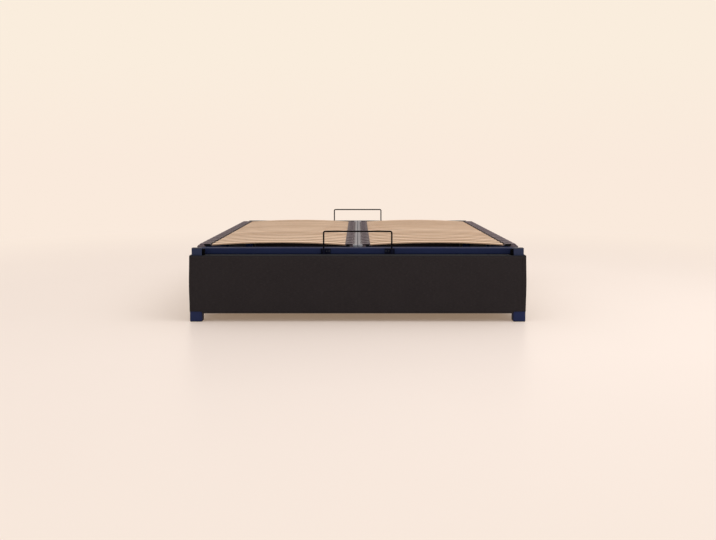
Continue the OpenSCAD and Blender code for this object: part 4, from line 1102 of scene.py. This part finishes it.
SCREW_X = (0.1415, 0.1545)
SCREW_SIDES = 24
STOP_BRACKET_T = 0.003


def make_screws_at_marks():
    """A screw head on each mark, facing along the bed."""
    inputs = {"Marks": "Geometry", "Screw": "Object", "Finish": "Material"}
    nodes = Group("screws at marks", inputs, {"Screws": "Geometry"}, "GeometryNodeTree")
    shape_in = {"Object": nodes.given["Screw"]}
    shape = nodes.put("GeometryNodeObjectInfo", shape_in, transform_space="ORIGINAL").outputs["Geometry"]
    copies = nodes.out("GeometryNodeInstanceOnPoints", {"Points": nodes.given["Marks"], "Instance": shape})
    return nodes.done({"Screws": nodes.solid(copies, nodes.given["Finish"])})


def socket_screw(facing):
    """A low round screw head with a hexagon socket, its face towards -Y or +Y."""
    turns = [math.tau * i / SCREW_SIDES for i in range(SCREW_SIDES)]
    rings = []
    for r, out in ((0.0046, 0.0), (0.0046, 0.001), (0.0042, 0.0016), (0.0034, 0.002)):
        rings.append([(r * math.cos(a), facing * out, r * math.sin(a)) for a in turns])
    for r, out in ((0.0023, 0.002), (0.0021, 0.0009)):
        ring = []
        for a in turns:
            flat = r / math.cos((a + math.pi / 6) % (math.pi / 3) - math.pi / 6)
            ring.append((flat * math.cos(a), facing * out, flat * math.sin(a)))
        rings.append(ring)
    bm = bmesh.new()
    loft(bm, rings)
    return as_object("screw maker", close_mesh(bm, "screw maker"), smooth_angle=30)


SCREWS_AT_MARKS = make_screws_at_marks()
for end_name, facing in (("foot", -1), ("head", 1)):
    low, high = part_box(f"stop_brackets_{end_name}")
    plate_y = facing * (abs(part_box("frame_foot_tube")[0].y) + STOP_BRACKET_T)
    places = [(side * x, plate_y, (low.z + high.z) / 2) for side in (-1, 1) for x in SCREW_X]
    marks = bpy.data.meshes.new("screw marks")
    marks.from_pydata(places, [], [])
    screw = socket_screw(facing)
    inputs = {"Screw": screw, "Finish": FINISH["screw"]}
    screws = grown(SCREWS_AT_MARKS, inputs, f"stop_screws_{end_name}", marks)
    bpy.data.objects.remove(screw)
    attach(screws, "slat_frame")


# ---- Stage, light and camera ----

WALL_TINT = (0.956, 0.847, 0.723)
WALL_FOOT_TINT = (0.955, 0.822, 0.715)
FLOOR_PAINT = (0.95, 0.885, 0.865)
FLOOR_SHADE = (0.88, 0.62, 0.42)
FLOOR_REACH = 14.0


def seen_or_mirrored(nodes):
    """1 for rays from the camera and for rays off gloss or through glass, 0 for the light's own."""
    ray = nodes.put("ShaderNodeLightPath").outputs
    both = nodes.maths("MAXIMUM", ray["Is Camera Ray"], ray["Is Glossy Ray"])
    return nodes.maths("MAXIMUM", both, ray["Is Transmission Ray"])


def floor_paint():
    """Pale studio floor with a soft gloss that runs out into the backdrop's colour."""
    nodes = Finish("floor paint", Roughness=0.38, Specular_IOR_Level=0.35)
    tint = nodes.blend(nodes.drift(0.7), tone(FLOOR_PAINT, 0.99), tone(FLOOR_PAINT, 1.01))
    nodes.feed(nodes.shader, {"Base Color": tint})
    seen = seen_or_mirrored(nodes)
    shade = nodes.out("ShaderNodeEmission", {"Color": opaque(FLOOR_SHADE)})
    shaded_in = {0: nodes.times(seen, 0.28), 1: nodes.shader.outputs[0], 2: shade}
    shaded = nodes.out("ShaderNodeMixShader", shaded_in)
    far = nodes.vector("LENGTH", nodes.position).node.outputs["Value"]
    run_out = nodes.remap(far, 1.8, 5.2, interpolation_type="SMOOTHSTEP")
    glow = nodes.out("ShaderNodeEmission", {"Color": opaque(WALL_FOOT_TINT)})
    whole = nodes.out("ShaderNodeMixShader", {0: nodes.times(seen, run_out), 1: shaded, 2: glow})
    nodes.feed(nodes.tree.nodes["Material Output"], {0: whole})
    return nodes.material


corners = [(x * FLOOR_REACH, y * FLOOR_REACH, 0) for x, y in ((-1, -1), (1, -1), (1, 1), (-1, 1))]
floor_mesh = bpy.data.meshes.new("studio floor")
floor_mesh.from_pydata(corners, [], [(0, 1, 2, 3)])
floor_mesh.materials.append(floor_paint())
as_object("studio_floor", floor_mesh)

scene.world = bpy.data.worlds.new("studio")
scene.world.use_nodes = True
nodes = Nodes(scene.world.node_tree)
into_view = nodes.parts(nodes.place("Generated"))
backdrop = nodes.blend(nodes.remap(into_view[2], 0.0, 0.12), WALL_FOOT_TINT, WALL_TINT)
off_gloss = nodes.put("ShaderNodeLightPath").outputs["Is Glossy Ray"]
dark_room = nodes.times(off_gloss, nodes.remap(into_view[1], 0.1, -0.6, 0.0, 0.8))
shown = nodes.blend(dark_room, backdrop, (0.1, 0.1, 0.1))
sky = nodes.blend(seen_or_mirrored(nodes), (0.88, 0.88, 0.88), shown)
nodes.feed(nodes.tree.nodes["Background"], {"Color": sky})

key = bpy.data.lights.new("key softbox", "AREA")
key.shape = "RECTANGLE"
key.size, key.size_y = 3.2, 2.4
key.energy = 45
key.color = (1.0, 0.98, 0.95)
key_lamp = bpy.data.objects.new("key softbox", key)
key_lamp.location = (2.2, -1.6, 3.4)
key_lamp.rotation_euler = (Vector((0, 0, 0.3)) - key_lamp.location).to_track_quat("-Z", "Y").to_euler()
scene.collection.objects.link(key_lamp)

camera = bpy.data.cameras.new("camera")
camera.sensor_width = 36
camera.lens = 43.94
camera.shift_x = 0.00056
camera.shift_y = -0.0838
camera_object = bpy.data.objects.new("camera", camera)
camera_object.location = (-0.0005, -5.3289, 0.7826)
camera_object.rotation_euler = (math.radians(90 - 3.107), 0, 0)
scene.collection.objects.link(camera_object)
scene.camera = camera_object

scene.view_settings.view_transform = "Standard"
